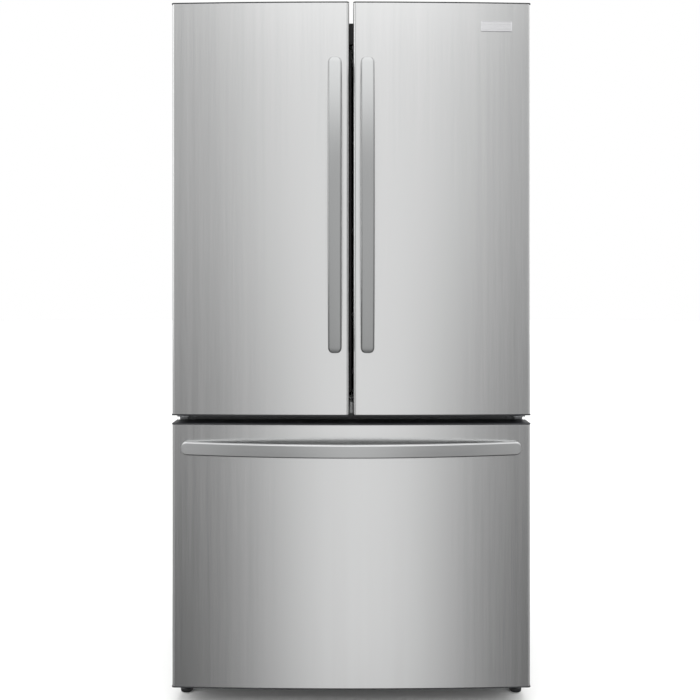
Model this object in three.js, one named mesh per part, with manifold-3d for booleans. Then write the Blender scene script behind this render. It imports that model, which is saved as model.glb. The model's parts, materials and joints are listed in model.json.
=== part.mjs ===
// French door refrigerator with a bottom freezer drawer.
// Millimetres, +Z up, the front faces -Y. The origin is on the floor, in the middle of
// the overall width and of the overall depth, handles included.
//
// Inside the file every piece is placed from the front plane of the cabinet (y = 0, the
// plane that the gaskets close on), and the whole group is then moved back to the origin.

import * as THREE from 'three';
import { mergeVertices } from 'three/addons/utils/BufferGeometryUtils.js';
import Module from 'manifold-3d';

const wasm = await Module();
wasm.setup();

// ---------------------------------------------------------------- driving dimensions

const CASE_WIDTH = 900;
const CASE_DEPTH = 760;
const CASE_BOTTOM = 40; // height of the cabinet's underside above the floor
const CASE_TOP = 1746;
const SPLIT_LEVEL = 730; // middle of the gap between the doors and the freezer drawer
const SPLIT_GAP = 20;
const SHEET = 1.2; // painted steel sheet
const FLANGE = 40; // width of the steel frame round the cabinet's mouth
const CLEARANCE = 0.3; // left between two pieces that sit against each other

const SIDE_WALL = 55; // insulated walls round the fresh food compartment
const TOP_WALL = 46;
const BACK_WALL = 60;
const FREEZER_SIDE_WALL = 65;
const FREEZER_BOTTOM_WALL = 70;
const SPLIT_WALL = 42; // insulation above and below the split level
const FREEZER_DEPTH = 560;
const MACHINE_DEPTH = 158; // machine compartment at the bottom of the back
const MACHINE_HEIGHT = 260;
const LINER_RADIUS = 22; // corners of the two compartments

const DOOR_SIDE_PROUD = 3; // the steel fronts stand this far out past the case on each side
const DOOR_RISE = 35; // the doors rise this far above the case
const DOOR_GAP = 10.5; // between the two doors
const DOOR_THICKNESS = 77;
const GASKET_GAP = 13; // from the cabinet's front plane to the back of the doors
const BOW = 10.5; // how far the middle of the front stands ahead of its sides
const EDGE_RADIUS = 7; // the bent edges of the steel fronts
const SKIN = 1.0; // stainless sheet
const DOOR_SEGMENTS = 6; // straight steps in each curve of a door's plan
const CAP_RIM = 3; // visible edge of the plastic end caps
const CAP_PLUG = 15; // what the end caps push into the door
const CAP_PROUD = 1.5; // the end caps stand out past the steel
const GASKET_WIDTH = 14;
const RIDGE = 18; // the ridges on the door liners that hold the bins
const RIDGE_HEIGHT = 41;
const POCKET_DEPTH = 25; // the hollow of the door liner behind the bins
const HINGE_INSET = 29; // hinge axis, from the outer edge of the door
const HINGE_FORWARD = 42; // hinge axis, ahead of the cabinet's front plane
const PIN_RADIUS = 4.8;
const BORE_RADIUS = 5.6;

const HANDLE_WIDTH = 34;
const HANDLE_REACH = 50; // from the door to the outside of the handle, at its middle
const HANDLE_END_REACH = 22;
const HANDLE_THICKNESS = 12;
const HANDLE_FOOT = 40; // length of each end that stands on the door
const HANDLE_FROM_CENTRE = 41; // handle's middle line, from the middle of the object
const HANDLE_TOP_MARGIN = 142;
const HANDLE_BOTTOM_MARGIN = 159;
const DRAWER_HANDLE_MARGIN = 26; // from the end of the handle to the side of the drawer
const DRAWER_HANDLE_DROP = 61; // handle's middle line, below the top of the drawer

const BADGE = { width: 79, height: 26, thickness: 1.2, fromEdge: 86, drop: 61 };

const FLIPPER_PIVOT = 30; // the flipper bar's pivot, from the middle of the object
const FLIPPER_TIP = 1; // how far its free edge passes the middle
const FLIPPER_THICKNESS = 12;
const FLIPPER_PIN = 2.4;
const EAR = 8; // thickness of the two ears that hold the flipper bar

const SHELF_FRONT = 150;
const SHELF_THICKNESS = 5;
const SHELF_RIM = 14;
const CRISPER_FRONT = 122;
const CRISPER_HEIGHT = 198;
const CRISPER_SIDE_GAP = 19;
const CRISPER_WALL = 3;
const BIN_REACH = 95; // how far the door bins reach into the cabinet
const BIN_HEIGHT = 112;
const BIN_WALL = 2.5;

const RAIL_HEIGHT = 40;
const RAIL_LEVEL = 305;
const RAIL_DEPTH = 9;
const BASKET_WALL = 3;
const LOWER_BASKET_HEIGHT = 340;
const UPPER_BASKET_HEIGHT = 115;
const BASKET_GAP = 34; // between the two baskets, one above the other

const FOOT_RADIUS = 16;
const FOOT_HEIGHT = 13;
const FOOT_INSET = 17; // from the side of the case to the middle of the foot
const ROLLER_RADIUS = 20;
const ROLLER_WIDTH = 18;
const FAN_HUB = 18;

// ------------------------------------------------------------------- derived levels

const HALF_CASE = CASE_WIDTH / 2;
const HALF_FRONT = HALF_CASE + DOOR_SIDE_PROUD;
const DOOR_TOP = CASE_TOP + DOOR_RISE;
const DRAWER_TOP = SPLIT_LEVEL - 12;
const DOOR_BOTTOM = DRAWER_TOP + SPLIT_GAP;
const DRAWER_BOTTOM = CASE_BOTTOM + 10;
const DOOR_FRONT = -GASKET_GAP - DOOR_THICKNESS;
const BOW_RADIUS = (HALF_FRONT ** 2 + BOW ** 2) / (2 * BOW);
const FRIDGE_HALF = HALF_CASE - SIDE_WALL;
const FRIDGE_FLOOR = SPLIT_LEVEL + SPLIT_WALL + 3;
const FRIDGE_CEILING = CASE_TOP - TOP_WALL;
const FRIDGE_BACK = CASE_DEPTH - BACK_WALL;
const FREEZER_HALF = HALF_CASE - FREEZER_SIDE_WALL;
const FREEZER_FLOOR = CASE_BOTTOM + FREEZER_BOTTOM_WALL;
const FREEZER_CEILING = SPLIT_LEVEL - SPLIT_WALL + 2;
const BACK_PLANE = CASE_DEPTH - 2; // outside of the back sheet
const FOAM_BACK = BACK_PLANE - SHEET - CLEARANCE;
const MACHINE_FRONT = CASE_DEPTH - MACHINE_DEPTH;
const MACHINE_TOP = CASE_BOTTOM + MACHINE_HEIGHT;
const HINGE_X = HALF_FRONT + 1 - HINGE_INSET;
const INNER_EDGE = DOOR_GAP / 2;
const CRISPER_COVER = FRIDGE_FLOOR + CRISPER_HEIGHT + 10;
const SHELF_PITCH = (FRIDGE_CEILING - CRISPER_COVER) / 3;
const DUCT_HALF = 110;
const DUCT_DEPTH = 12;
const SHELF_BACK = FRIDGE_BACK - DUCT_DEPTH - 8;
const EVAPORATOR_PLANE = FREEZER_DEPTH - 72;
const FRAME_BOTTOM = CASE_BOTTOM - 14;
const FOOT_X = HALF_CASE - FOOT_INSET;
const FOOT_Y = 9;
const ROLLER_X = HALF_CASE - 52;
const ROLLER_Y = CASE_DEPTH - 60;
const CONDENSER_X = [-HALF_CASE + 60, -HALF_CASE * 0.3];
const CONDENSER_FAN = [CONDENSER_X[1] + 44, MACHINE_FRONT + MACHINE_DEPTH / 2 - 2, 150];
const EVAPORATOR_FAN_Z = FREEZER_CEILING - 118;
const LOWER_BASKET_LEVEL = FREEZER_FLOOR + 20;
const UPPER_BASKET_LEVEL = LOWER_BASKET_LEVEL + LOWER_BASKET_HEIGHT + BASKET_GAP;
const DOOR_SPAN = [DOOR_BOTTOM, DOOR_TOP];
const LINER_LOW = FRIDGE_FLOOR + 4; // the door liners' raised ridges
const LINER_HIGH = FRIDGE_CEILING - 4;
const RIDGE_NEAR = FLIPPER_PIVOT + 18;
const RIDGE_FAR = FRIDGE_HALF - 6;
const FLIPPER_Y = CLEARANCE + FLIPPER_THICKNESS / 2;

// ---------------------------------------------------------------------- solid helpers

function solidOf(geometry) {
  const bare = geometry.index ? geometry.toNonIndexed() : geometry.clone();
  bare.deleteAttribute('normal');
  bare.deleteAttribute('uv');
  const merged = mergeVertices(bare, 1e-4);
  return new wasm.Manifold(new wasm.Mesh({
    numProp: 3,
    vertProperties: new Float32Array(merged.attributes.position.array),
    triVerts: new Uint32Array(merged.index.array),
  }));
}

function geometryOf(solid) {
  const { vertProperties, triVerts } = solid.getMesh();
  const geometry = new THREE.BufferGeometry();
  geometry.setAttribute('position', new THREE.BufferAttribute(vertProperties, 3));
  geometry.setIndex(new THREE.BufferAttribute(triVerts, 1));
  geometry.computeVertexNormals();
  return geometry;
}

const join = (first, ...rest) => rest.reduce((whole, piece) => whole.add(piece), first);
const cut = (first, ...rest) => rest.reduce((whole, piece) => whole.subtract(piece), first);
const middle = ([low, high]) => (low + high) / 2;
const around = (centre, half) => [centre - half, centre + half];
const range = (count) => Array.from({ length: count }, (_, index) => index);

// A span on one side of the middle plane, from two distances: side -1 is the left.
const onSide = (side, near, far) => (side < 0 ? [-far, -near] : [near, far]);

function block(x, y, z) {
  const box = new THREE.BoxGeometry(x[1] - x[0], y[1] - y[0], z[1] - z[0]);
  return solidOf(box.translate(middle(x), middle(y), middle(z)));
}

function extruded(shape, [low, high], segments) {
  const options = { depth: high - low, bevelEnabled: false, curveSegments: segments };
  return new THREE.ExtrudeGeometry(shape, options).translate(0, 0, low);
}

// The shape is drawn in X and Y and stands along Z.
const standing = (shape, z, segments = 4) => solidOf(extruded(shape, z, segments));

// The shape is drawn in X and Z and runs back along Y.
function runningBack(shape, [low, high], segments = 4) {
  return solidOf(extruded(shape, [-high, -low], segments).rotateX(Math.PI / 2));
}

// The shape is drawn in Y and Z and runs across along X.
function runningAcross(shape, x, segments = 4) {
  const turn = new THREE.Matrix4().set(0, 0, 1, 0, 1, 0, 0, 0, 0, 1, 0, 0, 0, 0, 0, 1);
  return solidOf(extruded(shape, x, segments).applyMatrix4(turn));
}

function roundedRect([left, right], [low, high], radius) {
  const shape = new THREE.Shape();
  shape.moveTo(left + radius, low);
  shape.absarc(right - radius, low + radius, radius, -Math.PI / 2, 0);
  shape.absarc(right - radius, high - radius, radius, 0, Math.PI / 2);
  shape.absarc(left + radius, high - radius, radius, Math.PI / 2, Math.PI);
  shape.absarc(left + radius, low + radius, radius, Math.PI, 1.5 * Math.PI);
  return shape;
}

// A round bar on the stated axis ('x', 'y' or 'z') through the centre (x, y, z).
function bar(axis, [x, y, z], radius, length, sides = 12) {
  const rod = new THREE.CylinderGeometry(radius, radius, length, sides);
  if (axis === 'z') rod.rotateX(Math.PI / 2);
  if (axis === 'x') rod.rotateZ(Math.PI / 2);
  return solidOf(rod.translate(x, y, z));
}

// An upright pin or bore between two heights.
const upright = (x, y, [low, high], radius, sides = 12) =>
  bar('z', [x, y, (low + high) / 2], radius, high - low, sides);

// An open tray: a floor and four walls with rounded corners.
function tray(x, y, z, wall, radius) {
  const outer = standing(roundedRect(x, y, radius), z, 3);
  const inner = roundedRect([x[0] + wall, x[1] - wall], [y[0] + wall, y[1] - wall], radius - wall);
  return cut(outer, standing(inner, [z[0] + wall, z[1] + 1], 3));
}

// A rectangular ring that lies in the front plane and runs back along Y.
function ring(x, z, y, width, radius) {
  const outer = runningBack(roundedRect(x, z, radius), y, 3);
  const hole = roundedRect([x[0] + width, x[1] - width], [z[0] + width, z[1] - width], radius / 2);
  return cut(outer, runningBack(hole, [y[0] - 1, y[1] + 1], 3));
}

const finish = (color, roughness, metalness = 0) =>
  new THREE.MeshStandardMaterial({ color, roughness, metalness });

const stainless = () => finish(0xb9bbbc, 0.34, 1);
const paintedCase = () => finish(0x8d9092, 0.5, 0.3);
const darkPlastic = () => finish(0x2b2c2e, 0.5);
const greyPlastic = () => finish(0x55585a, 0.55);
const whitePlastic = () => finish(0xeef0f0, 0.4);
const clearPlastic = () => finish(0xdfe8ea, 0.15);
const glass = () => finish(0xcfe0e0, 0.08);
const zincSteel = () => finish(0x9a9c9d, 0.42, 0.9);
const rubber = () => finish(0x3a3b3d, 0.8);
const blackSteel = () => finish(0x17181a, 0.45, 0.4);
const aluminium = () => finish(0xc7c9ca, 0.45, 1);

const refrigerator = new THREE.Group();

function add(name, solid, material) {
  const mesh = new THREE.Mesh(geometryOf(solid), material);
  mesh.name = name;
  refrigerator.add(mesh);
}

// --------------------------------------------------------------------------- cabinet

// A wrapper of painted sheet over the top and both sides, with a folded front frame.
function outerCase() {
  const [wide, tall] = [[-HALF_CASE, HALF_CASE], [CASE_BOTTOM, CASE_TOP]];
  const wrap = cut(
    block(wide, [0, CASE_DEPTH], tall),
    block([-HALF_CASE + SHEET, HALF_CASE - SHEET], [-1, CASE_DEPTH + 1], [0, CASE_TOP - SHEET]),
  );
  const mouth = block(
    [-HALF_CASE + FLANGE, HALF_CASE - FLANGE], [-1, SHEET + 1],
    [CASE_BOTTOM + FLANGE + 10, CASE_TOP - FLANGE],
  );
  return join(wrap, cut(block(wide, [0, SHEET], tall), mouth));
}

function backPanel() {
  const edge = HALF_CASE - SHEET - CLEARANCE;
  const low = MACHINE_TOP + 2;
  const sheet = block([-edge, edge], [BACK_PLANE - SHEET, BACK_PLANE], [low, CASE_TOP - 2]);
  const ribs = range(3).map((index) => {
    const x = (index - 1) * edge * 0.6;
    return block(around(x, 14), [BACK_PLANE - SHEET, CASE_DEPTH - 0.2], [low + 80, CASE_TOP - 90]);
  });
  return join(sheet, ...ribs);
}

// The white liner of both compartments with the foam that backs it, bonded as one piece.
function foamedLiner() {
  const inside = HALF_CASE - SHEET - CLEARANCE;
  const bottom = CASE_BOTTOM + 1;
  const front = SHEET + CLEARANCE;
  const side = new THREE.Shape();
  side.moveTo(front, bottom);
  side.lineTo(MACHINE_FRONT, bottom);
  side.lineTo(MACHINE_FRONT, MACHINE_TOP);
  side.lineTo(FOAM_BACK, MACHINE_TOP);
  side.lineTo(FOAM_BACK, CASE_TOP - SHEET - CLEARANCE);
  side.lineTo(front, CASE_TOP - SHEET - CLEARANCE);
  const fridge = roundedRect(
    [-FRIDGE_HALF, FRIDGE_HALF], [FRIDGE_FLOOR, FRIDGE_CEILING], LINER_RADIUS);
  const freezer = roundedRect(
    [-FREEZER_HALF, FREEZER_HALF], [FREEZER_FLOOR, FREEZER_CEILING], LINER_RADIUS);
  const hollow = cut(
    runningAcross(side, [-inside, inside]),
    runningBack(fridge, [-1, FRIDGE_BACK]),
    runningBack(freezer, [-1, FREEZER_DEPTH]),
  );
  const ledges = [-1, 1].flatMap((hand) => [
    block(onSide(hand, FREEZER_HALF - 20, FREEZER_HALF + 2), [24, EVAPORATOR_PLANE - 20],
      [UPPER_BASKET_LEVEL - 9, UPPER_BASKET_LEVEL - 1]),
    block(onSide(hand, FRIDGE_HALF - 12, FRIDGE_HALF + 2), [CRISPER_FRONT + 40, SHELF_BACK],
      [CRISPER_COVER - 8, CRISPER_COVER - CLEARANCE]),
  ]);
  return join(hollow, ...ledges);
}

// The steel strip across the cabinet's mouth, between the two compartments.
function centreRail() {
  const half = HALF_CASE - FLANGE - CLEARANCE;
  return block([-half, half], [0, SHEET], [FREEZER_CEILING + 4, FRIDGE_FLOOR - 4]);
}

// Side rails, cross members, a floor under the machine compartment and roller brackets.
function baseFrame() {
  const z = [FRAME_BOTTOM, CASE_BOTTOM - CLEARANCE];
  const outer = HALF_CASE - 6;
  const rails = [-1, 1].map((hand) => block(onSide(hand, outer - 40, outer), [0, CASE_DEPTH - 12], z));
  const front = block([-outer, outer], [0, 26], z);
  const floor = block([-outer, outer], [MACHINE_FRONT - 20, CASE_DEPTH - 12], [z[1] - 4, z[1]]);
  const feet = [-1, 1].map((hand) =>
    upright(hand * FOOT_X, FOOT_Y, [z[0] - 1, z[1] + 1], BORE_RADIUS));
  const wells = [-1, 1].map((hand) => block(
    around(hand * ROLLER_X, ROLLER_WIDTH / 2 + 2), around(ROLLER_Y, ROLLER_RADIUS + 4),
    [z[0] - 1, z[1] + 1]));
  const cheeks = [-1, 1].flatMap((hand) => [-1, 1].map((edge) => block(
    around(hand * ROLLER_X + edge * (ROLLER_WIDTH / 2 + 3.5), 1.5),
    around(ROLLER_Y, 16), [ROLLER_RADIUS - 9, z[1]])));
  const axles = [-1, 1].map((hand) =>
    bar('x', [hand * ROLLER_X, ROLLER_Y, ROLLER_RADIUS], 4.6, ROLLER_WIDTH + 14, 12));
  return cut(join(cut(join(front, floor, ...rails), ...feet, ...wells), ...cheeks), ...axles);
}

function levellingFoot(hand) {
  const profile = [
    [0, 0], [FOOT_RADIUS - 3, 0], [FOOT_RADIUS, 3], [FOOT_RADIUS, FOOT_HEIGHT - 2],
    [FOOT_RADIUS - 2, FOOT_HEIGHT], [PIN_RADIUS, FOOT_HEIGHT],
    [PIN_RADIUS, CASE_BOTTOM - 1], [0, CASE_BOTTOM - 1],
  ].map(([radius, height]) => new THREE.Vector2(radius, height));
  const foot = new THREE.LatheGeometry(profile, 20).rotateX(Math.PI / 2);
  return solidOf(foot.translate(hand * FOOT_X, FOOT_Y, 0));
}

function rearRoller(hand) {
  const half = ROLLER_WIDTH / 2;
  const profile = [
    [0, -half - 6], [4, -half - 6], [4, -half], [ROLLER_RADIUS - 1.5, -half],
    [ROLLER_RADIUS, -half + 1.5], [ROLLER_RADIUS, half - 1.5], [ROLLER_RADIUS - 1.5, half],
    [4, half], [4, half + 6], [0, half + 6],
  ].map(([radius, along]) => new THREE.Vector2(radius, along));
  const wheel = new THREE.LatheGeometry(profile, 24).rotateZ(Math.PI / 2);
  return solidOf(wheel.translate(hand * ROLLER_X, ROLLER_Y, ROLLER_RADIUS));
}

function toeGrille() {
  const half = FOOT_X - FOOT_RADIUS - 12;
  const plate = block([-half, half], [-6, -CLEARANCE], [FOOT_HEIGHT, CASE_BOTTOM - 2]);
  const slots = range(12).map((index) => {
    const x = (index - 5.5) * (half / 6.5);
    return block(around(x, half / 18), [-8, 1], around((FOOT_HEIGHT + CASE_BOTTOM - 2) / 2, 4));
  });
  return cut(plate, ...slots);
}

// ------------------------------------------------------- cooling machine and air path

function compressor() {
  const [x, y] = [HALF_CASE * 0.45, MACHINE_FRONT + MACHINE_DEPTH / 2];
  const pot = [
    [0, 50], [52, 50], [66, 62], [70, 80], [70, 150], [64, 182], [44, 204], [0, 210],
  ].map(([radius, height]) => new THREE.Vector2(radius, height));
  const body = solidOf(new THREE.LatheGeometry(pot, 20).rotateX(Math.PI / 2).translate(x, y, 0));
  const plate = block(around(x, 88), around(y, 62), [46, 51]);
  const grommets = [-1, 1].flatMap((across) => [-1, 1].map((deep) =>
    upright(x + across * 74, y + deep * 46, [CASE_BOTTOM, 47], 9, 12)));
  const terminal = block([x - 92, x - 60], around(y, 22), [110, 160]);
  return join(body, plate, terminal, ...grommets);
}

// Thin fins threaded on round tubes: a row of plates across X.
function finnedCoil(x, y, z, fins, tubes) {
  const pitch = (x[1] - x[0] - 8) / (fins - 1);
  const plates = range(fins).map((index) => block(around(x[0] + 4 + index * pitch, 0.8), y, z));
  const runs = tubes.map(([ty, tz]) =>
    bar('x', [middle(x), ty, tz], 5, x[1] - x[0], 6));
  return join(plates[0], ...runs, ...plates.slice(1));
}

// The condenser coil with the arm and motor that carry its fan.
function condenser() {
  const [fanX, y, z] = CONDENSER_FAN;
  const tubes = [[y - 26, 95], [y + 26, 195]];
  const coil = finnedCoil(CONDENSER_X, around(y, 52), [CASE_BOTTOM + 4, 240], 9, tubes);
  const arm = block(
    [CONDENSER_X[1] - 6, CONDENSER_X[1]], around(y, 14), [CASE_BOTTOM + 4, 240]);
  const motor = bar('x', [(CONDENSER_X[1] + fanX - 14) / 2, y, z], 24, fanX - 14 - CONDENSER_X[1] + 2, 16);
  return join(coil, arm, motor);
}

// A hub with pitched blades that turn about the stated axis.
function fan(axis, [x, y, z], radius, blades, depth) {
  const pitch = 0.55;
  const reach = radius - FAN_HUB + 3;
  const hub = solidOf(new THREE.CylinderGeometry(FAN_HUB, FAN_HUB, depth, 20));
  const wings = range(blades).map((index) => {
    const wing = new THREE.BoxGeometry(reach, 1.8, depth * 1.35).rotateX(pitch);
    wing.translate(FAN_HUB - 3 + reach / 2, 0, 0).rotateY((index * 2 * Math.PI) / blades);
    return solidOf(wing);
  });
  const whole = geometryOf(join(hub, ...wings));
  if (axis === 'x') whole.rotateZ(Math.PI / 2);
  return solidOf(whole.translate(x, y, z));
}

function machineCover() {
  const edge = HALF_CASE - SHEET - 3;
  const plate = block(
    [-edge, edge], [BACK_PLANE - 2, BACK_PLANE], [CASE_BOTTOM + 3, MACHINE_TOP]);
  const slots = range(12).map((index) => {
    const x = (index - 5.5) * (edge / 7);
    return block(around(x, edge / 28), [BACK_PLANE - 4, BACK_PLANE + 2],
      [CASE_BOTTOM + 60, MACHINE_TOP - 60]);
  });
  return cut(plate, ...slots);
}

function evaporator() {
  const half = FREEZER_HALF - 90;
  const y = [EVAPORATOR_PLANE + 14, FREEZER_DEPTH - 6];
  const z = [FREEZER_FLOOR + 60, FREEZER_FLOOR + 300];
  const tubes = [[middle(y), z[0] + 60], [middle(y), z[1] - 60]];
  return finnedCoil([-half, half], y, z, 11, tubes);
}

// The panel at the back of the freezer, with its fan opening and the fan's motor bridge.
function evaporatorCover() {
  const half = FREEZER_HALF - CLEARANCE;
  const front = EVAPORATOR_PLANE;
  const outline = roundedRect(
    [-half, half], [FREEZER_FLOOR + CLEARANCE, FREEZER_CEILING - CLEARANCE], LINER_RADIUS);
  const plate = runningBack(outline, [front, front + 3]);
  const opening = bar('y', [0, front, EVAPORATOR_FAN_Z], 62, 20, 16);
  const vents = range(8).map((index) => block(
    around((index - 3.5) * (half / 5), half / 16), [front - 2, front + 5],
    around(FREEZER_FLOOR + 36, 7)));
  const bridge = block([-80, 80], [front + 24, front + 27], around(EVAPORATOR_FAN_Z, 7));
  const posts = [-1, 1].map((hand) =>
    block(onSide(hand, 68, 80), [front + 2, front + 27], around(EVAPORATOR_FAN_Z, 7)));
  const motor = bar('y', [0, front + 19, EVAPORATOR_FAN_Z], 19, 12, 16);
  return join(cut(plate, opening, ...vents), bridge, motor, ...posts);
}

// The moulded cover of the air duct up the back of the fresh food compartment.
function airDuct() {
  const y = [FRIDGE_BACK - DUCT_DEPTH, FRIDGE_BACK - CLEARANCE];
  const shape = roundedRect([-DUCT_HALF, DUCT_HALF], [CRISPER_COVER + 10, FRIDGE_CEILING - 40], 14);
  const vents = range(2).flatMap((row) => range(4).map((column) => {
    const x = (column - 1.5) * 44;
    const z = CRISPER_COVER + (row + 1) * SHELF_PITCH - 50;
    return block(around(x, 15), [y[0] - 1, y[0] + 7], around(z, 5));
  }));
  return cut(runningBack(shape, y), ...vents);
}

function controlPanel() {
  const z = [FRIDGE_CEILING - 30, FRIDGE_CEILING - CLEARANCE];
  const body = standing(roundedRect(around(0, 190), [62, 208], 18), z);
  const recess = standing(roundedRect(around(0, 150), [112, 192], 10), [z[0] - 1, z[0] + 6]);
  return cut(body, recess);
}

// ----------------------------------------------------------- shelves, crispers, baskets

// A glass shelf in a rim: the glass is the thin plate and the rim stands round it.
function shelf(x, z) {
  const y = [SHELF_FRONT, SHELF_BACK];
  const frame = standing(roundedRect(x, y, 10), [z - SHELF_THICKNESS, z + 6], 3);
  const hole = roundedRect(
    [x[0] + SHELF_RIM, x[1] - SHELF_RIM], [y[0] + SHELF_RIM * 1.5, y[1] - SHELF_RIM], 5);
  const above = standing(hole, [z, z + 7], 3);
  const arms = [x[0] + SHELF_RIM, x[1] - SHELF_RIM].map((at) =>
    block(around(at, 3), [y[1] - 220, y[1] - 2], [z - SHELF_THICKNESS - 16, z - 1]));
  return join(cut(frame, above), ...arms);
}

function crisperCover() {
  const x = [-FRIDGE_HALF + 2, FRIDGE_HALF - 2];
  const y = [CRISPER_FRONT + 6, SHELF_BACK];
  const frame = standing(roundedRect(x, y, 8), [CRISPER_COVER, CRISPER_COVER + 9], 3);
  const panes = [-1, 1].map((hand) => standing(
    roundedRect(onSide(hand, 10, FRIDGE_HALF - 18), [y[0] + 26, y[1] - 16], 5),
    [CRISPER_COVER + 5, CRISPER_COVER + 10], 3));
  return cut(frame, ...panes);
}

function crisper(hand) {
  const x = onSide(hand, 10, FRIDGE_HALF - CRISPER_SIDE_GAP);
  const z = [FRIDGE_FLOOR + 1, FRIDGE_FLOOR + 1 + CRISPER_HEIGHT - 10];
  const body = tray(x, [CRISPER_FRONT, SHELF_BACK - 30], z, CRISPER_WALL, 14);
  const grip = block(
    [x[0] + 40, x[1] - 40], [CRISPER_FRONT - 12, CRISPER_FRONT + 1], [z[1] - 30, z[1] - 24]);
  return join(body, grip);
}

// The upper freezer basket hangs by its side flanges on the liner's ledges.
function upperBasket() {
  const half = FREEZER_HALF - 26;
  const z = [UPPER_BASKET_LEVEL - 20, UPPER_BASKET_LEVEL + UPPER_BASKET_HEIGHT - 20];
  const y = [30, EVAPORATOR_PLANE - 34];
  const body = tray([-half, half], y, z, BASKET_WALL, 20);
  const flanges = [-1, 1].map((hand) => block(
    onSide(hand, half - 1, FREEZER_HALF - 4), [y[0] + 30, y[1] - 30],
    [UPPER_BASKET_LEVEL - 1 + CLEARANCE, UPPER_BASKET_LEVEL + 3]));
  return join(body, ...flanges);
}

function lowerBasket() {
  const half = FREEZER_HALF - 34;
  const z = [LOWER_BASKET_LEVEL, LOWER_BASKET_LEVEL + LOWER_BASKET_HEIGHT - 26];
  return tray([-half, half], [14, EVAPORATOR_PLANE - 40], z, BASKET_WALL, 26);
}

// Fixed C-shaped channel on the freezer's side wall.
function freezerRail(hand) {
  const [wall, mouth] = [FREEZER_HALF - CLEARANCE, FREEZER_HALF - CLEARANCE - RAIL_DEPTH];
  const y = [22, EVAPORATOR_PLANE - 16];
  const z = around(RAIL_LEVEL, RAIL_HEIGHT / 2);
  const back = block(onSide(hand, wall - 2, wall), y, z);
  const lips = [-1, 1].map((edge) => block(
    onSide(hand, mouth, wall), y, around(RAIL_LEVEL + edge * (RAIL_HEIGHT / 2 - 1), 1)));
  return join(back, ...lips);
}

// The drawer's two sliding members, tied at the back by the bar that keeps them in step.
function drawerFrame() {
  const outer = FREEZER_HALF - CLEARANCE - 2.6;
  const rear = EVAPORATOR_PLANE - 24;
  const runners = [-1, 1].flatMap((hand) => [
    block(onSide(hand, FREEZER_HALF - 16, outer), [-GASKET_GAP + CLEARANCE, rear],
      around(RAIL_LEVEL, RAIL_HEIGHT / 2 - 3)),
    block(onSide(hand, FREEZER_HALF - 30, FREEZER_HALF - 15), [-GASKET_GAP + CLEARANCE, -2],
      around(RAIL_LEVEL, RAIL_HEIGHT / 2 + 30)),
  ]);
  const tie = bar('x', [0, rear - 6, RAIL_LEVEL], 5, 2 * (FREEZER_HALF - 12), 8);
  return join(runners[0], tie, ...runners.slice(1));
}

// ------------------------------------------------------------------------------ hinges

// A raised bracket on top of the case whose pin goes down into the door's top cap.
function topHinge(hand) {
  const x = onSide(hand, HINGE_X - 26, HALF_CASE - 6);
  const floor = CASE_TOP + CLEARANCE;
  const arm = [DOOR_TOP + 0.5, DOOR_TOP + 4];
  const base = block(x, [30, 130], [floor, floor + 3.5]);
  const riser = block(x, [30, 34], [floor, arm[1]]);
  const reach = block(around(hand * HINGE_X, 13), [-HINGE_FORWARD, 34], arm);
  const shoulder = block(x, [12, 34], arm);
  const nose = upright(hand * HINGE_X, -HINGE_FORWARD, arm, 13, 20);
  const pin = upright(hand * HINGE_X, -HINGE_FORWARD, [DOOR_TOP - 13, arm[1]], PIN_RADIUS);
  return join(base, riser, reach, shoulder, nose, pin);
}

function hingeCover(hand) {
  const outline = roundedRect(onSide(hand, HINGE_X - 34, HALF_CASE - 1), [4, 142], 8);
  const hollow = roundedRect(onSide(hand, HINGE_X - 31, HALF_CASE - 4), [7, 139], 5);
  const top = DOOR_TOP + 9;
  const shell = cut(
    standing(outline, [CASE_TOP + CLEARANCE, top]),
    standing(hollow, [CASE_TOP - 1, top - 3]),
  );
  return cut(shell, block(onSide(hand, HINGE_X - 28, HALF_CASE - 5), [2, 9], [CASE_TOP + 20, top - 3]));
}

// A bracket on the cabinet's front between door and drawer, with its pin pointing up.
function centreHinge(hand) {
  const arm = [DOOR_BOTTOM - 9, DOOR_BOTTOM - 5];
  const plate = block(
    onSide(hand, HINGE_X + 4, HALF_CASE - 2), [-3, -CLEARANCE], [DRAWER_TOP - 24, arm[1]]);
  const foot = block(onSide(hand, HINGE_X - 12, HALF_CASE - 2), [-HINGE_FORWARD, -CLEARANCE], arm);
  const nose = upright(hand * HINGE_X, -HINGE_FORWARD, arm, 12, 20);
  const pin = upright(hand * HINGE_X, -HINGE_FORWARD, [arm[0], DOOR_BOTTOM + 13], PIN_RADIUS);
  return join(plate, foot, nose, pin);
}

// ------------------------------------------------------------------- doors and drawer

// Y of the bowed front surface at x, sunk in by the stated inset.
const frontY = (x, inset = 0) =>
  DOOR_FRONT + BOW_RADIUS - Math.sqrt((BOW_RADIUS - inset) ** 2 - x * x);

// The plan of a door: straight sides, bent edges and a front that is one wide arc.
function doorPlan([low, high], inset, rear) {
  const radius = BOW_RADIUS - inset;
  const corner = EDGE_RADIUS - inset;
  const [left, right] = [low + inset, high - inset];
  const angle = (x) => -Math.PI / 2 + Math.asin(x / radius);
  const plan = new THREE.Shape();
  plan.moveTo(left, rear);
  plan.lineTo(left, frontY(left, inset) + corner);
  plan.quadraticCurveTo(left, frontY(left, inset), left + corner, frontY(left + corner, inset));
  plan.absarc(0, DOOR_FRONT + BOW_RADIUS, radius, angle(left + corner), angle(right - corner));
  plan.quadraticCurveTo(
    right, frontY(right, inset), right, frontY(right, inset) + corner);
  plan.lineTo(right, rear);
  return plan;
}

// The stainless front, wrapped round both edges.
function steelFront(x, [low, high]) {
  const z = [low + CAP_RIM + CLEARANCE, high - CAP_RIM - CLEARANCE];
  return cut(
    standing(doorPlan(x, 0, -GASKET_GAP - 2), z, DOOR_SEGMENTS),
    standing(doorPlan(x, SKIN, 0), [z[0] - 1, z[1] + 1], DOOR_SEGMENTS),
  );
}

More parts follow.
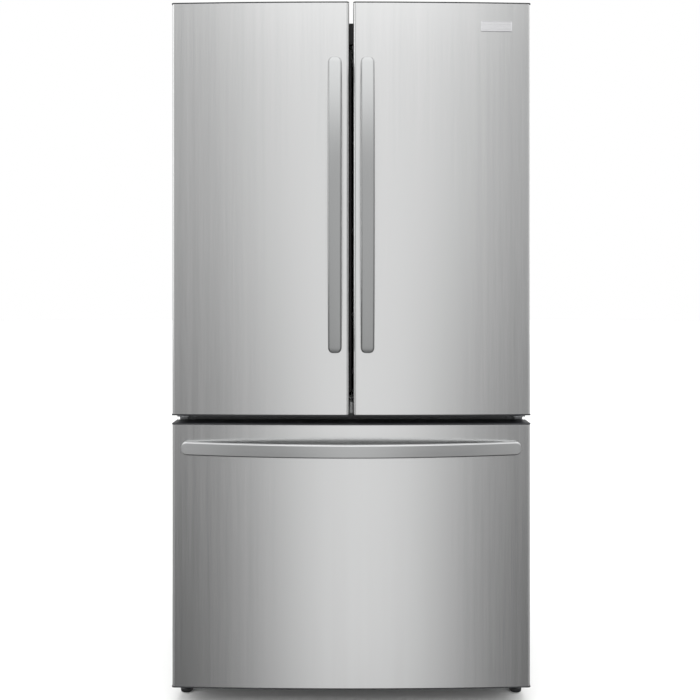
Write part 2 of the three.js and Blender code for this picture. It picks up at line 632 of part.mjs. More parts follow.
// The end cap at the top or bottom: a thin rim outside and a plug inside the steel.
function endCap(x, edge, inward, proud) {
  const rim = [edge, edge + inward * CAP_RIM].sort((a, b) => a - b);
  const plug = [edge + inward * (CAP_RIM - 1), edge + inward * (CAP_RIM + CAP_PLUG)];
  const wide = [x[0] - proud[0], x[1] + proud[1]];
  return join(
    standing(doorPlan(wide, 0, -GASKET_GAP), rim, DOOR_SEGMENTS),
    standing(doorPlan(x, SKIN + CLEARANCE, -GASKET_GAP), plug.sort((a, b) => a - b), DOOR_SEGMENTS),
  );
}

// The foam-filled body of a door with its white inner liner.
function doorBody(x, [low, high]) {
  const inset = CAP_RIM + CAP_PLUG + CLEARANCE;
  return standing(doorPlan(x, SKIN + CLEARANCE, -GASKET_GAP), [low + inset, high - inset], DOOR_SEGMENTS);
}

function doorLiner(hand) {
  const body = doorBody(onSide(hand, INNER_EDGE, HALF_FRONT), DOOR_SPAN);
  const reach = RIDGE_HEIGHT - GASKET_GAP;
  const ridge = runningBack(
    roundedRect(onSide(hand, RIDGE_NEAR, RIDGE_FAR), [LINER_LOW, LINER_HIGH], 16),
    [-GASKET_GAP - 1, reach], 3);
  const pocket = runningBack(
    roundedRect(onSide(hand, RIDGE_NEAR + RIDGE, RIDGE_FAR - RIDGE),
      [LINER_LOW + RIDGE, LINER_HIGH - RIDGE], 10),
    [-GASKET_GAP - POCKET_DEPTH, reach + 1], 3);
  const hollowed = cut(join(body, ridge), pocket);
  return hand < 0 ? join(hollowed, ...flipperEars()) : hollowed;
}

// Two ears on the left door's ridge, with the bores of the flipper bar's pins.
function flipperEars() {
  return [[LINER_LOW, LINER_LOW + EAR], [LINER_HIGH - EAR, LINER_HIGH]].map((z) => cut(
    join(
      block([-RIDGE_NEAR - 6, -FLIPPER_PIVOT], around(FLIPPER_Y, 5), z),
      upright(-FLIPPER_PIVOT, FLIPPER_Y, z, 5, 16),
      block([-RIDGE_NEAR - 14, -RIDGE_NEAR - 4], around(FLIPPER_Y, 5), z),
    ),
    upright(-FLIPPER_PIVOT, FLIPPER_Y, [z[0] - 1, z[1] + 1], FLIPPER_PIN + 0.6, 16),
  ));
}

// The bar behind the gap between the doors. It is hung on the left door and folds back.
function flipperBar() {
  const half = FLIPPER_THICKNESS / 2;
  const plan = new THREE.Shape();
  plan.absarc(-FLIPPER_PIVOT, FLIPPER_Y, half, Math.PI / 2, 1.5 * Math.PI);
  plan.lineTo(FLIPPER_TIP, FLIPPER_Y - half);
  plan.lineTo(FLIPPER_TIP, FLIPPER_Y + half);
  const z = [LINER_LOW + EAR + 0.6, LINER_HIGH - EAR - 0.6];
  return join(
    standing(plan, z, 8),
    upright(-FLIPPER_PIVOT, FLIPPER_Y, [z[0] - 7, z[0] + 1], FLIPPER_PIN, 12),
    upright(-FLIPPER_PIVOT, FLIPPER_Y, [z[1] - 1, z[1] + 7], FLIPPER_PIN, 12),
  );
}

function doorGasket(hand) {
  const x = onSide(hand, INNER_EDGE + 5, HINGE_X - 1);
  return ring(x, [SPLIT_LEVEL + 22, CASE_TOP - 11], [-GASKET_GAP + CLEARANCE, -CLEARANCE],
    GASKET_WIDTH, 8);
}

function drawerGasket() {
  const half = HINGE_X - 1;
  return ring([-half, half], [CASE_BOTTOM + 26, SPLIT_LEVEL - 18],
    [-GASKET_GAP + CLEARANCE, -CLEARANCE], GASKET_WIDTH, 8);
}

// A door bin hangs between the ridges, with its back in the liner's pocket.
function doorBin(hand, level) {
  const x = onSide(hand, RIDGE_NEAR + RIDGE + CLEARANCE, RIDGE_FAR - RIDGE - CLEARANCE);
  const y = [-GASKET_GAP - POCKET_DEPTH + CLEARANCE, BIN_REACH];
  return tray(x, y, [level, level + BIN_HEIGHT], BIN_WALL, 12);
}

// The side view of a strap handle: two ends on the door and a bowed bar between them.
// Each point is [u, height]: u runs along the handle, ground(u) is the door's height there.
function strapProfile(length, ground) {
  const rise = HANDLE_REACH - HANDLE_END_REACH;
  const crown = (u) => ground(u) + HANDLE_END_REACH + (4 * rise * u * (length - u)) / length ** 2;
  const steps = 12;
  const across = (from, to) => range(steps + 1).map((index) => from + ((to - from) * index) / steps);
  const soles = [[length, length - HANDLE_FOOT], [HANDLE_FOOT, 0]].map((ends) =>
    ends.map((u) => [u, ground(u) + CLEARANCE]));
  return [
    ...across(0, length).map((u) => [u, crown(u)]),
    ...soles[0],
    ...across(length - HANDLE_FOOT, HANDLE_FOOT).map((u) => [u, crown(u) - HANDLE_THICKNESS]),
    ...soles[1],
  ];
}

function doorHandle(hand) {
  const [low, high] = [DOOR_BOTTOM + HANDLE_BOTTOM_MARGIN, DOOR_TOP - HANDLE_TOP_MARGIN];
  const points = strapProfile(high - low, () => 0).map(([u, height]) =>
    new THREE.Vector2(DOOR_FRONT - height, low + u));
  return runningAcross(
    new THREE.Shape(points), around(hand * HANDLE_FROM_CENTRE, HANDLE_WIDTH / 2));
}

function drawerHandle() {
  const half = HALF_FRONT - DRAWER_HANDLE_MARGIN;
  const ground = (u) => DOOR_FRONT - frontY(u - half);
  const points = strapProfile(2 * half, ground).map(([u, height]) =>
    new THREE.Vector2(u - half, DOOR_FRONT - height));
  return standing(new THREE.Shape(points), around(DRAWER_TOP - DRAWER_HANDLE_DROP, HANDLE_WIDTH / 2));
}

// The blank badge plate lies on the bowed front, so it is turned to follow it.
function badgePlate() {
  const x = HALF_FRONT - BADGE.fromEdge;
  const outline = roundedRect(around(0, BADGE.width / 2), around(0, BADGE.height / 2), 2);
  const plate = extruded(outline, [CLEARANCE, CLEARANCE + BADGE.thickness], 3);
  plate.rotateX(Math.PI / 2).rotateZ(Math.asin(x / BOW_RADIUS));
  return solidOf(plate.translate(x, frontY(x), DOOR_TOP - BADGE.drop));
}

// -------------------------------------------------------------------------- assembly

const sides = { left: -1, right: 1 };

add('outer_case', outerCase(), paintedCase());
add('back_panel', backPanel(), paintedCase());
add('foamed_liner', foamedLiner(), whitePlastic());
add('centre_rail', centreRail(), blackSteel());
add('base_frame', baseFrame(), zincSteel());
add('toe_grille', toeGrille(), darkPlastic());
add('compressor', compressor(), blackSteel());
add('condenser', condenser(), blackSteel());
add('condenser_fan', fan('x', CONDENSER_FAN, 68, 5, 24), darkPlastic());
add('machine_cover', machineCover(), greyPlastic());
add('evaporator', evaporator(), aluminium());
add('evaporator_cover', evaporatorCover(), whitePlastic());
add('evaporator_fan', fan('y', [0, EVAPORATOR_PLANE + 2.5, EVAPORATOR_FAN_Z], 56, 5, 15), darkPlastic());
add('air_duct', airDuct(), whitePlastic());
add('control_panel', controlPanel(), whitePlastic());

const shelfEdge = FRIDGE_HALF - 4;
add('upper_shelf_left', shelf([-shelfEdge, -4], CRISPER_COVER + 2 * SHELF_PITCH), glass());
add('upper_shelf_right', shelf([4, shelfEdge], CRISPER_COVER + 2 * SHELF_PITCH), glass());
add('lower_shelf', shelf([-shelfEdge, shelfEdge], CRISPER_COVER + SHELF_PITCH), glass());
add('crisper_cover', crisperCover(), glass());

add('upper_basket', upperBasket(), whitePlastic());
add('lower_basket', lowerBasket(), whitePlastic());
add('drawer_frame', drawerFrame(), zincSteel());

for (const [side, hand] of Object.entries(sides)) {
  add(`${side}_crisper`, crisper(hand), clearPlastic());
  add(`${side}_freezer_rail`, freezerRail(hand), zincSteel());
  add(`${side}_front_foot`, levellingFoot(hand), darkPlastic());
  add(`${side}_rear_roller`, rearRoller(hand), darkPlastic());
  add(`${side}_top_hinge`, topHinge(hand), zincSteel());
  add(`${side}_hinge_cover`, hingeCover(hand), greyPlastic());
  add(`${side}_centre_hinge`, centreHinge(hand), zincSteel());

  const span = onSide(hand, INNER_EDGE, HALF_FRONT);
  const proud = hand < 0 ? [CAP_PROUD, 0] : [0, CAP_PROUD];
  const bore = upright(hand * HINGE_X, -HINGE_FORWARD, [DOOR_BOTTOM - 1, DOOR_TOP + 1], BORE_RADIUS);
  add(`${side}_door_panel`, steelFront(span, DOOR_SPAN), stainless());
  add(`${side}_door_liner`, doorLiner(hand), whitePlastic());
  add(`${side}_door_top_cap`, cut(endCap(span, DOOR_TOP, -1, proud), bore), darkPlastic());
  add(`${side}_door_bottom_cap`, cut(endCap(span, DOOR_BOTTOM, 1, proud), bore), darkPlastic());
  add(`${side}_door_gasket`, doorGasket(hand), rubber());
  add(`${side}_door_handle`, doorHandle(hand), stainless());
  const pocket = LINER_HIGH - LINER_LOW - 2 * RIDGE;
  add(`${side}_door_bin_lower`, doorBin(hand, LINER_LOW + RIDGE + pocket * 0.05), clearPlastic());
  add(`${side}_door_bin_upper`, doorBin(hand, LINER_LOW + RIDGE + pocket * 0.55), clearPlastic());
}
add('flipper_bar', flipperBar(), darkPlastic());
add('badge_plate', badgePlate(), aluminium());

const drawerSpan = [-HALF_FRONT, HALF_FRONT];
add('drawer_panel', steelFront(drawerSpan, [DRAWER_BOTTOM, DRAWER_TOP]), stainless());
add('drawer_liner', doorBody(drawerSpan, [DRAWER_BOTTOM, DRAWER_TOP]), whitePlastic());
add('drawer_top_cap', endCap(drawerSpan, DRAWER_TOP, -1, [CAP_PROUD, CAP_PROUD]), darkPlastic());
add('drawer_bottom_cap', endCap(drawerSpan, DRAWER_BOTTOM, 1, [CAP_PROUD, CAP_PROUD]), darkPlastic());
add('drawer_gasket', drawerGasket(), rubber());
add('drawer_handle', drawerHandle(), stainless());

// The overall depth runs from the outside of the handles to the back of the case.
refrigerator.position.y = -(CASE_DEPTH + DOOR_FRONT - HANDLE_REACH) / 2;

export default refrigerator;
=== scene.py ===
# %% [markdown]
# # A french door refrigerator
# A wide kitchen refrigerator: two doors over a freezer drawer, all three with bowed stainless
# fronts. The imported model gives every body, joint and size. This lesson gives it its looks:
# fine meshes for the pieces that show, softened copies for the plain ones, and a finish for each.
# Everything is in metres, +Z is up and the front faces -Y.

# %% Load the frame
import json
import math

import bmesh
import bpy
from mathutils import Matrix, Vector

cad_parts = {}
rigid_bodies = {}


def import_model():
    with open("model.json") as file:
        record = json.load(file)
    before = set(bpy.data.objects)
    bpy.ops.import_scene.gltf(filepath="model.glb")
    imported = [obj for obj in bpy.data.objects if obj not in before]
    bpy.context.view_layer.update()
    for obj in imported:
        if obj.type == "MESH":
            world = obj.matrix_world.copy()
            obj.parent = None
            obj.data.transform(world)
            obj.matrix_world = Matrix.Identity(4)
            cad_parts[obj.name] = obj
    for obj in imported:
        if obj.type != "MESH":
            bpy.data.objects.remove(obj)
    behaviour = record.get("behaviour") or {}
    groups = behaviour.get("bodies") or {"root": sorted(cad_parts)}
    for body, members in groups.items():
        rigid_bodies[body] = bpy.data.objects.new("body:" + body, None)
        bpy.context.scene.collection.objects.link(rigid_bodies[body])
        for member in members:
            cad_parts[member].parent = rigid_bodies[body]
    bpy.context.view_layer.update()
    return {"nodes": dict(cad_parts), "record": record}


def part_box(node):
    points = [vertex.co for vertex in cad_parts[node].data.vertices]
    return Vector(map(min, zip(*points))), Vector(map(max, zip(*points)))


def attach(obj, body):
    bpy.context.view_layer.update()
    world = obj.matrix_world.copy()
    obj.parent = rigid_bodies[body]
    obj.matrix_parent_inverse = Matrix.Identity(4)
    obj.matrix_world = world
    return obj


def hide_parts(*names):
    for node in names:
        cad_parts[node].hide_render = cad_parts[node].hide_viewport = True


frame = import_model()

MM = 0.001

# %% [markdown]
# ## Camera
# The object is seen straight from the front by a level camera, a little above its middle, so the
# upright edges stay upright. A tilted camera would take in the feet as well, but would make the
# sides lean, so a small downward shift of the lens does that instead. The focal length follows
# from how wide one metre of the front should be in the picture.

# %% Camera
CAMERA_DISTANCE = 2.0  # from the foremost plane of the steel fronts
CAMERA_HEIGHT = 1.045
CAMERA_AIM_X = -0.003
CAMERA_SHIFT = -0.08  # in widths of the picture
SENSOR_WIDTH = 36
METRE_IN_PICTURE = 397.7 / 700  # one metre of the front, in widths of the picture

front_low, front_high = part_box("drawer_panel")
FRONT_Y = front_low.y
camera_data = bpy.data.cameras.new("camera")
camera_data.sensor_width = SENSOR_WIDTH
camera_data.lens = SENSOR_WIDTH * METRE_IN_PICTURE * CAMERA_DISTANCE
camera_data.shift_y = CAMERA_SHIFT
camera = bpy.data.objects.new("camera", camera_data)
bpy.context.scene.collection.objects.link(camera)
camera.location = (CAMERA_AIM_X, FRONT_Y - CAMERA_DISTANCE, CAMERA_HEIGHT)
camera.rotation_euler = (math.pi / 2, 0, 0)
bpy.context.scene.camera = camera
bpy.context.scene.view_settings.view_transform = "Standard"
print("lens", round(camera_data.lens, 1), "mm, front plane at", round(FRONT_Y, 4))


# %% [markdown]
# ## Two small helpers
# A node tree can be built by hand in the editor or in the script. Here one helper adds a node and
# sets or links its inputs, and another turns an sRGB hex colour to the linear values that a
# shader works in. Every tree below is made with them. The Mix node has several sockets with the
# same name, so the ones that are used here get a name of their own.

# %% Node and colour helpers
def add_node(tree, kind, inputs=None, **settings):
    """Adds a node. The settings are its properties, and each input is a value or a socket."""
    node = tree.nodes.new(kind)
    for name, value in settings.items():
        setattr(node, name, value)
    for socket, value in (inputs or {}).items():
        if isinstance(value, bpy.types.NodeSocket):
            tree.links.new(value, node.inputs[socket])
        else:
            node.inputs[socket].default_value = value
    return node


def linear(hex_colour, alpha=1.0):
    """The linear values of an sRGB hex colour."""
    parts = [int(hex_colour[i:i + 2], 16) / 255 for i in (1, 3, 5)]
    return (*[p / 12.92 if p <= 0.04045 else ((p + 0.055) / 1.055) ** 2.4 for p in parts], alpha)


def fill_ramp(ramp, stops):
    """Gives a colour ramp its (position, grey value) stops."""
    while len(ramp.elements) < len(stops):
        ramp.elements.new(0.5)
    for element, (position, value) in zip(ramp.elements, stops):
        element.position = position
        element.color = (value, value, value, 1)


FLOAT_A, FLOAT_B, COLOUR_A, COLOUR_B, COLOUR_OUT = 2, 3, 6, 7, 2  # sockets of the Mix node
print("middle grey, linear:", round(linear("#808080")[0], 3))


# %% [markdown]
# ## Light
# A sheet of brushed steel shows what stands before it, so most of the light is in the world: a
# bright lobe behind the camera, darker to both sides and towards the floor, as a large soft box
# gives. A picture of a studio could do this too, but two ramps over the direction are smaller and
# easier to change. One ramp holds for the height of the doors and one for the drawer, and they
# are mixed by the height of the direction. The camera itself sees plain white.

# %% World light
# Each ramp runs over the sideways part of the direction, from -1 at the left to 1 at the right.
SIDE_PLACES = (
    0.0, 0.12, 0.24, 0.31, 0.365, 0.435, 0.497, 0.53, 0.582, 0.645, 0.70, 0.78, 0.88, 1.0)


def side_stops(far, lobe, dark, mid, peak):
    """Light over the sideways direction: bright middle, dark band each side, soft outer lobes."""
    half = (far, far, lobe, dark, dark, mid, peak)
    return list(zip(SIDE_PLACES, half + half[::-1]))


SIDE_STOPS_HIGH = side_stops(0.7, 0.95, 0.45, 0.9, 2.7)
SIDE_STOPS_LOW = side_stops(0.25, 0.7, 0.02, 0.3, 1.6)
LOW_LEVEL, HIGH_LEVEL = -0.55, 0.40  # upward parts of the direction, one for each ramp
# And over the height of the direction: dark below the floor's edge, brighter overhead.
HEIGHT_STOPS = [
    (0.0, 0.35), (0.20, 0.36), (0.28, 1.0), (0.54, 1.0),
    (0.66, 0.92), (0.76, 1.85), (0.88, 2.2), (1.0, 1.6)]

world = bpy.data.worlds.new("studio")
bpy.context.scene.world = world
world.use_nodes = True
tree = world.node_tree
tree.nodes.clear()
direction = add_node(tree, "ShaderNodeTexCoord").outputs["Generated"]
parts = add_node(tree, "ShaderNodeSeparateXYZ", {0: direction})
sideways = add_node(tree, "ShaderNodeMapRange", {
    "Value": parts.outputs["X"], "From Min": -1, "From Max": 1}).outputs[0]
ramps = []
for stops in (SIDE_STOPS_LOW, SIDE_STOPS_HIGH):
    node = add_node(tree, "ShaderNodeValToRGB", {"Fac": sideways})
    node.color_ramp.interpolation = "B_SPLINE"
    fill_ramp(node.color_ramp, stops)
    ramps.append(node.outputs[0])
height = add_node(tree, "ShaderNodeMapRange", {
    "Value": parts.outputs["Z"], "From Min": LOW_LEVEL, "From Max": HIGH_LEVEL},
    interpolation_type="SMOOTHSTEP").outputs[0]
glow = add_node(tree, "ShaderNodeMix", {
    "Factor": height, COLOUR_A: ramps[0], COLOUR_B: ramps[1]},
    data_type="RGBA").outputs[COLOUR_OUT]
upward = add_node(tree, "ShaderNodeMapRange", {
    "Value": parts.outputs["Z"], "From Min": -1, "From Max": 1}).outputs[0]
node = add_node(tree, "ShaderNodeValToRGB", {"Fac": upward})
fill_ramp(node.color_ramp, HEIGHT_STOPS)
glow = add_node(tree, "ShaderNodeMix", {
    "Factor": 1.0, COLOUR_A: glow, COLOUR_B: node.outputs[0]},
    data_type="RGBA", blend_type="MULTIPLY").outputs[COLOUR_OUT]
rays = add_node(tree, "ShaderNodeLightPath").outputs["Is Camera Ray"]
shown = add_node(tree, "ShaderNodeMix", {
    "Factor": rays, COLOUR_A: glow, COLOUR_B: (1, 1, 1, 1)},
    data_type="RGBA").outputs[COLOUR_OUT]
background = add_node(tree, "ShaderNodeBackground", {"Color": shown, "Strength": 1.0})
add_node(tree, "ShaderNodeOutputWorld", {"Surface": background.outputs[0]})
print("world light:", len(tree.nodes), "nodes")


# %% [markdown]
# ## Soft boxes and floor
# A wide box overhead gives the soft shadow, and one box at each side lights the case from behind
# and from the side in other views. The floor is nearly white and so wide that it meets the
# horizon. Neither it nor the top box is seen by glossy rays: in a flat steel front they would
# show as hard-edged grey or white fields.

# %% Soft boxes and floor
def soft_box(name, place, aim, size, power, mirrored=True):
    """A large soft light; one that isn't mirrored leaves no bright patch in the steel."""
    data = bpy.data.lights.new(name, "AREA")
    data.shape, data.size, data.size_y, data.energy = "RECTANGLE", *size, power
    light = bpy.data.objects.new(name, data)
    bpy.context.scene.collection.objects.link(light)
    light.visible_glossy = mirrored
    light.location = place
    light.rotation_euler = (Vector(aim) - Vector(place)).to_track_quat("-Z", "Y").to_euler()


soft_box("top_box", (0, -0.8, 3.9), (0, 0, 0.8), (3.2, 2.6), 60, False)
soft_box("left_box", (-3.6, -1.2, 1.9), (0, 0, 0.9), (1.6, 2.6), 14)
soft_box("right_box", (3.6, 1.4, 1.9), (0, 0, 0.9), (1.6, 2.6), 14)

FLOOR_RADIUS = 30  # metres
floor_mesh = bpy.data.meshes.new("floor")
floor_form = bmesh.new()
bmesh.ops.create_circle(floor_form, cap_ends=True, segments=96, radius=FLOOR_RADIUS)
floor_form.to_mesh(floor_mesh)
floor_form.free()
floor = bpy.data.objects.new("floor", floor_mesh)
bpy.context.scene.collection.objects.link(floor)
floor_material = bpy.data.materials.new("pale_floor")
floor_material.use_nodes = True
floor_shader = floor_material.node_tree.nodes["Principled BSDF"]
floor_shader.inputs["Base Color"].default_value = linear("#f4f4f3")
floor_shader.inputs["Roughness"].default_value = 0.9
floor_mesh.materials.append(floor_material)
floor.visible_glossy = False


# %% [markdown]
# ## Finishes
# Each finish starts from the real material: its usual colour, gloss and index, then the small
# marks that its making leaves. A painted image would need a flat map of every piece, so the marks
# are noise on Object coordinates instead, sized in millimetres. The values that are even all over
# a surface sit on the shader's own sockets.

# %% Material helpers
def start_material(name, colour, roughness, **values):
    """A material with one shader; the other values are its sockets, as coat_weight or ior."""
    material = bpy.data.materials.new(name)
    material.use_nodes = True
    tree = material.node_tree
    shader = tree.nodes["Principled BSDF"]
    shader.inputs["Base Color"].default_value = linear(colour)
    shader.inputs["Roughness"].default_value = roughness
    for socket, value in values.items():
        shader.inputs[socket.replace("_", " ").title().replace("Ior", "IOR")].default_value = value
    return material, tree, shader


def pattern(tree, size_mm, detail=3.0, roughness=0.55):
    """A noise whose features are size_mm = (x, y, z) long, on Object coordinates."""
    place = add_node(tree, "ShaderNodeTexCoord").outputs["Object"]
    scale = tuple(1 / (s * MM) for s in size_mm)
    mapped = add_node(tree, "ShaderNodeMapping", {"Vector": place, "Scale": scale})
    return add_node(tree, "ShaderNodeTexNoise", {
        "Vector": mapped.outputs[0], "Scale": 1.0, "Detail": detail,
        "Roughness": roughness}).outputs["Fac"]


def between(tree, factor, low, high):
    """Turns a noise, which lies mostly between 0.3 and 0.7, to a value from low to high."""
    return add_node(tree, "ShaderNodeMapRange", {
        "Value": factor, "From Min": 0.3, "From Max": 0.7, "To Min": low,
        "To Max": high}).outputs[0]


def tint(tree, factor, dark, light):
    """Mixes two hex colours."""
    return add_node(tree, "ShaderNodeMix", {
        "Factor": factor, COLOUR_A: linear(dark), COLOUR_B: linear(light)},
        data_type="RGBA").outputs[COLOUR_OUT]


def bump(tree, shader, height, depth_mm, strength=1.0):
    """Lets a noise tilt the shaded surface, as hills of that depth would."""
    node = add_node(tree, "ShaderNodeBump", {
        "Height": height, "Distance": depth_mm * MM, "Strength": strength})
    tree.links.new(node.outputs[0], shader.inputs["Normal"])


# %% [markdown]
# The fronts and handles are ferritic stainless sheet, belt-ground in one direction. That leaves
# long fine scratches, which spread a highlight across the grain. The shader's anisotropy could do
# that on a flat sheet, but stretched noise on the roughness and the bump holds on the bent edges
# and shows the grain too. The doors are ground upright, and the drawer's handle along its length.

# %% Stainless steel
BAND_WIDTH = 14  # the belt leaves faint bands this many times as wide as a scratch
BAND_SHARE = 0.35


def brushed_stainless(name, grain_mm, dark, light, rough, depth=0.5):
    """Belt-ground stainless sheet. The grain is the size of a scratch along X, Y and Z."""
    # The real scratches are far finer, and are drawn about 1 mm wide so that they show.
    material, tree, shader = start_material(name, light, sum(rough) / 2, metallic=1.0)
    scratches = pattern(tree, grain_mm, detail=4.0, roughness=0.7)
    wide = pattern(tree, tuple(g * BAND_WIDTH for g in grain_mm), detail=2.0)
    blend = add_node(tree, "ShaderNodeMix", {
        "Factor": BAND_SHARE, FLOAT_A: scratches, FLOAT_B: wide}).outputs[0]
    shade = between(tree, blend, 0.0, 1.0)
    tree.links.new(tint(tree, shade, dark, light), shader.inputs["Base Color"])
    tree.links.new(between(tree, blend, *rough), shader.inputs["Roughness"])
    bump(tree, shader, scratches, 0.02, depth)
    return material


stainless_front = brushed_stainless(
    "brushed_stainless_front", (1.0, 1.0, 160.0), "#dadbdb", "#e2e2e2", (0.19, 0.26))
# The handles' steel is a darker copy of the fronts' steel, and the upright straps are the darkest.
# The grain really runs another way, but the darker tone is painted shade, for the handles lying
# darker than the doors.
strap_steel_painted_shade = brushed_stainless(
    "brushed_stainless_strap", (0.7, 0.7, 90.0), "#a5a6a6", "#aaabab", (0.22, 0.26), 0.1)
cross_steel_painted_shade = brushed_stainless(
    "brushed_stainless_cross", (90.0, 0.7, 0.7), "#c9caca", "#cecfcf", (0.32, 0.37), 0.1)
print("steel grains:", stainless_front.name, strap_steel_painted_shade.name, cross_steel_painted_shade.name)


# %% [markdown]
# The case is pre-painted sheet with a pebbled coat that hides fingerprints. Rails and brackets
# are zinc-plated, which leaves a cloudy shine, and the coils are bare aluminium and copper. Each
# is one colour that drifts a little, a roughness that does too, and small hills where it has any.

# %% Painted and plated steel
PATCH_SIZE = 220  # millimetres, over which a coat of paint drifts in colour


def painted_steel(name, dark, light, pebble_mm, rough):
    """Sheet steel under a coat of small round hills."""
    material, tree, shader = start_material(name, light, rough)
    shader.inputs["Coat Weight"].default_value = 0.15
    pebbles = pattern(tree, (pebble_mm,) * 3, detail=1.0)
    patches = pattern(tree, (PATCH_SIZE,) * 3, detail=2.0)
    tree.links.new(tint(tree, patches, dark, light), shader.inputs["Base Color"])
    tree.links.new(between(tree, pebbles, rough - 0.06, rough + 0.06), shader.inputs["Roughness"])
    bump(tree, shader, pebbles, 0.25, 0.6)
    return material


rail_paint = painted_steel("grey_rail_paint", "#707274", "#7a7c7e", 1.4, 0.42)
case_paint = painted_steel("grey_pebbled_paint", "#7c7f81", "#85888a", 1.8, 0.48)
black_enamel = painted_steel("black_enamel", "#141517", "#1b1c1e", 1.2, 0.36)


def zinc_plate():
    """Zinc-plated pressed steel: a soft metal shine with cloudy patches from the bath."""
    material, tree, shader = start_material("zinc_plated_steel", "#a9abad", 0.4, metallic=1.0)
    clouds = pattern(tree, (9, 9, 9), detail=4.0)
    tree.links.new(tint(tree, clouds, "#9b9d9f", "#b6b8ba"), shader.inputs["Base Color"])
    tree.links.new(between(tree, clouds, 0.33, 0.47), shader.inputs["Roughness"])
    bump(tree, shader, clouds, 0.05, 0.4)
    return material


def mill_aluminium():
    """Rolled aluminium, left bare: fine lines along X from the rolls."""
    material, tree, shader = start_material("mill_aluminium", "#c9cbcc", 0.36, metallic=1.0)
    lines = pattern(tree, (40, 1.2, 1.2), detail=3.0)
    tree.links.new(tint(tree, lines, "#bcbec0", "#d2d4d5"), shader.inputs["Base Color"])
    tree.links.new(between(tree, lines, 0.3, 0.42), shader.inputs["Roughness"])
    return material


def copper_tube():
    """Drawn copper with the dull film that brazing leaves."""
    material, tree, shader = start_material("drawn_copper", "#b87350", 0.34, metallic=1.0)
    film = pattern(tree, (14, 14, 14), detail=4.0)
    tree.links.new(tint(tree, film, "#8c5238", "#c98661"), shader.inputs["Base Color"])
    tree.links.new(between(tree, film, 0.25, 0.5), shader.inputs["Roughness"])
    return material


zinc = zinc_plate()
aluminium = mill_aluminium()
copper = copper_tube()
print("metals:", zinc.name, aluminium.name, copper.name)


# %% [markdown]
# The liners are vacuum-formed white styrene, the caps and covers moulded ABS and polypropylene,
# and the gaskets soft vinyl. A mould gives them a fine grain, cut by sparks into its steel, and
# the plastic has a faint mottle. They differ in colour, gloss and grain, so one function makes
# them all. The badge is a small plate of satin metal, which the brushed steel's function makes.

# %% Plastics and rubber
MOTTLE_SIZE = 120  # millimetres


def moulded(name, dark, light, rough, grain_mm, depth_mm, **values):
    """Injection-moulded or vacuum-formed plastic: a fine grain and a faint mottle."""
    material, tree, shader = start_material(name, light, rough, **values)
    grain = pattern(tree, (grain_mm,) * 3, detail=2.0)
    mottle = pattern(tree, (MOTTLE_SIZE,) * 3, detail=3.0)
    tree.links.new(tint(tree, mottle, dark, light), shader.inputs["Base Color"])
    tree.links.new(between(tree, grain, rough - 0.05, rough + 0.05), shader.inputs["Roughness"])
    bump(tree, shader, grain, depth_mm, 0.5)
    return material


white_liner = moulded("white_styrene_liner", "#eceeee", "#f4f5f5", 0.3, 2.6, 0.06)
dark_cap = moulded("dark_grey_abs", "#26272a", "#2f3033", 0.46, 0.9, 0.04)
grey_cover = moulded("grey_polypropylene", "#4a4d50", "#54575a", 0.5, 0.9, 0.05)
light_stop = moulded("light_grey_abs", "#8a8c8c", "#929494", 0.4, 0.9, 0.03)
black_bar = moulded("black_abs", "#121315", "#1a1b1d", 0.4, 0.9, 0.03)
gasket_vinyl = moulded("grey_soft_vinyl", "#4d5053", "#5a5d60", 0.62, 1.4, 0.05)
white_coat = moulded("white_vinyl_coat", "#e6e8e9", "#f0f1f2", 0.34, 3.0, 0.08)
badge_plate_finish = brushed_stainless(
    "satin_badge_metal", (18.0, 0.6, 0.6), "#e6e6e8", "#f3f3f5", (0.2, 0.3))
print("finishes so far:", len(bpy.data.materials))


# %% [markdown]
# Trays and bins are clear SAN, a styrene that is polished in the mould, the shelves are float
# glass, and the lamp has an opal lens. They need real transmission, because the shelf behind has
# to show through. Their roughness varies slowly, as the flow of the melt or the float leaves it.

# %% Clear plastic and glass
def clear_styrene():
    """Clear SAN, glass-like, with a faint green-blue body."""
    material, tree, shader = start_material(
        "clear_san", "#fafdfd", 0.05, ior=1.57, transmission_weight=0.97)
    flow = pattern(tree, (60, 60, 60), detail=2.0)
    tree.links.new(between(tree, flow, 0.04, 0.09), shader.inputs["Roughness"])
    return material


def shelf_glass():
    """Tempered float glass, 4 mm, seen green through its thickness."""
    material, tree, shader = start_material(
        "tempered_glass", "#e3f0ea", 0.02, ior=1.52, transmission_weight=1.0)
    wave = pattern(tree, (180, 180, 180), detail=1.0)
    tree.links.new(between(tree, wave, 0.01, 0.04), shader.inputs["Roughness"])
    return material


clear_tray = clear_styrene()
glass = shelf_glass()


def frosted_lens():
    """Opal polycarbonate over the lamp: light goes in and scatters."""
    material, tree, shader = start_material(
        "opal_polycarbonate", "#f6f6f0", 0.35, ior=1.58, transmission_weight=0.35)
    grain = pattern(tree, (1.4,) * 3, detail=1.0)
    bump(tree, shader, grain, 0.1, 0.5)
    return material


lens = frosted_lens()
print("finishes:", len(bpy.data.materials))


# %% [markdown]
# ## Mesh helpers
# Most pieces here are lofts: a closed ring of points, carried along and joined to the next ring.
# A sheet, a tray, a turned foot and a handle are all made so. Pieces whose CAD shape is already
# right only need their edges rounded, because real sheet and plastic have no sharp edge.

# %% Loft, turn and round
def loft(rings, caps=True, closed=False):
    """A mesh from rings of points: side faces between neighbours, and a cap at each end."""
    form = bmesh.new()
    made = [[form.verts.new(p) for p in ring] for ring in rings]
    pairs = list(zip(made, made[1:])) + ([(made[-1], made[0])] if closed else [])
    for first, second in pairs:
        for i in range(len(first)):
            j = (i + 1) % len(first)
            form.faces.new((first[i], first[j], second[j], second[i]))
    if caps and not closed:
        form.faces.new(made[0])
        form.faces.new(made[-1])
    bmesh.ops.recalc_face_normals(form, faces=form.faces)
    mesh = bpy.data.meshes.new("loft")
    form.to_mesh(mesh)
    form.free()
    return mesh


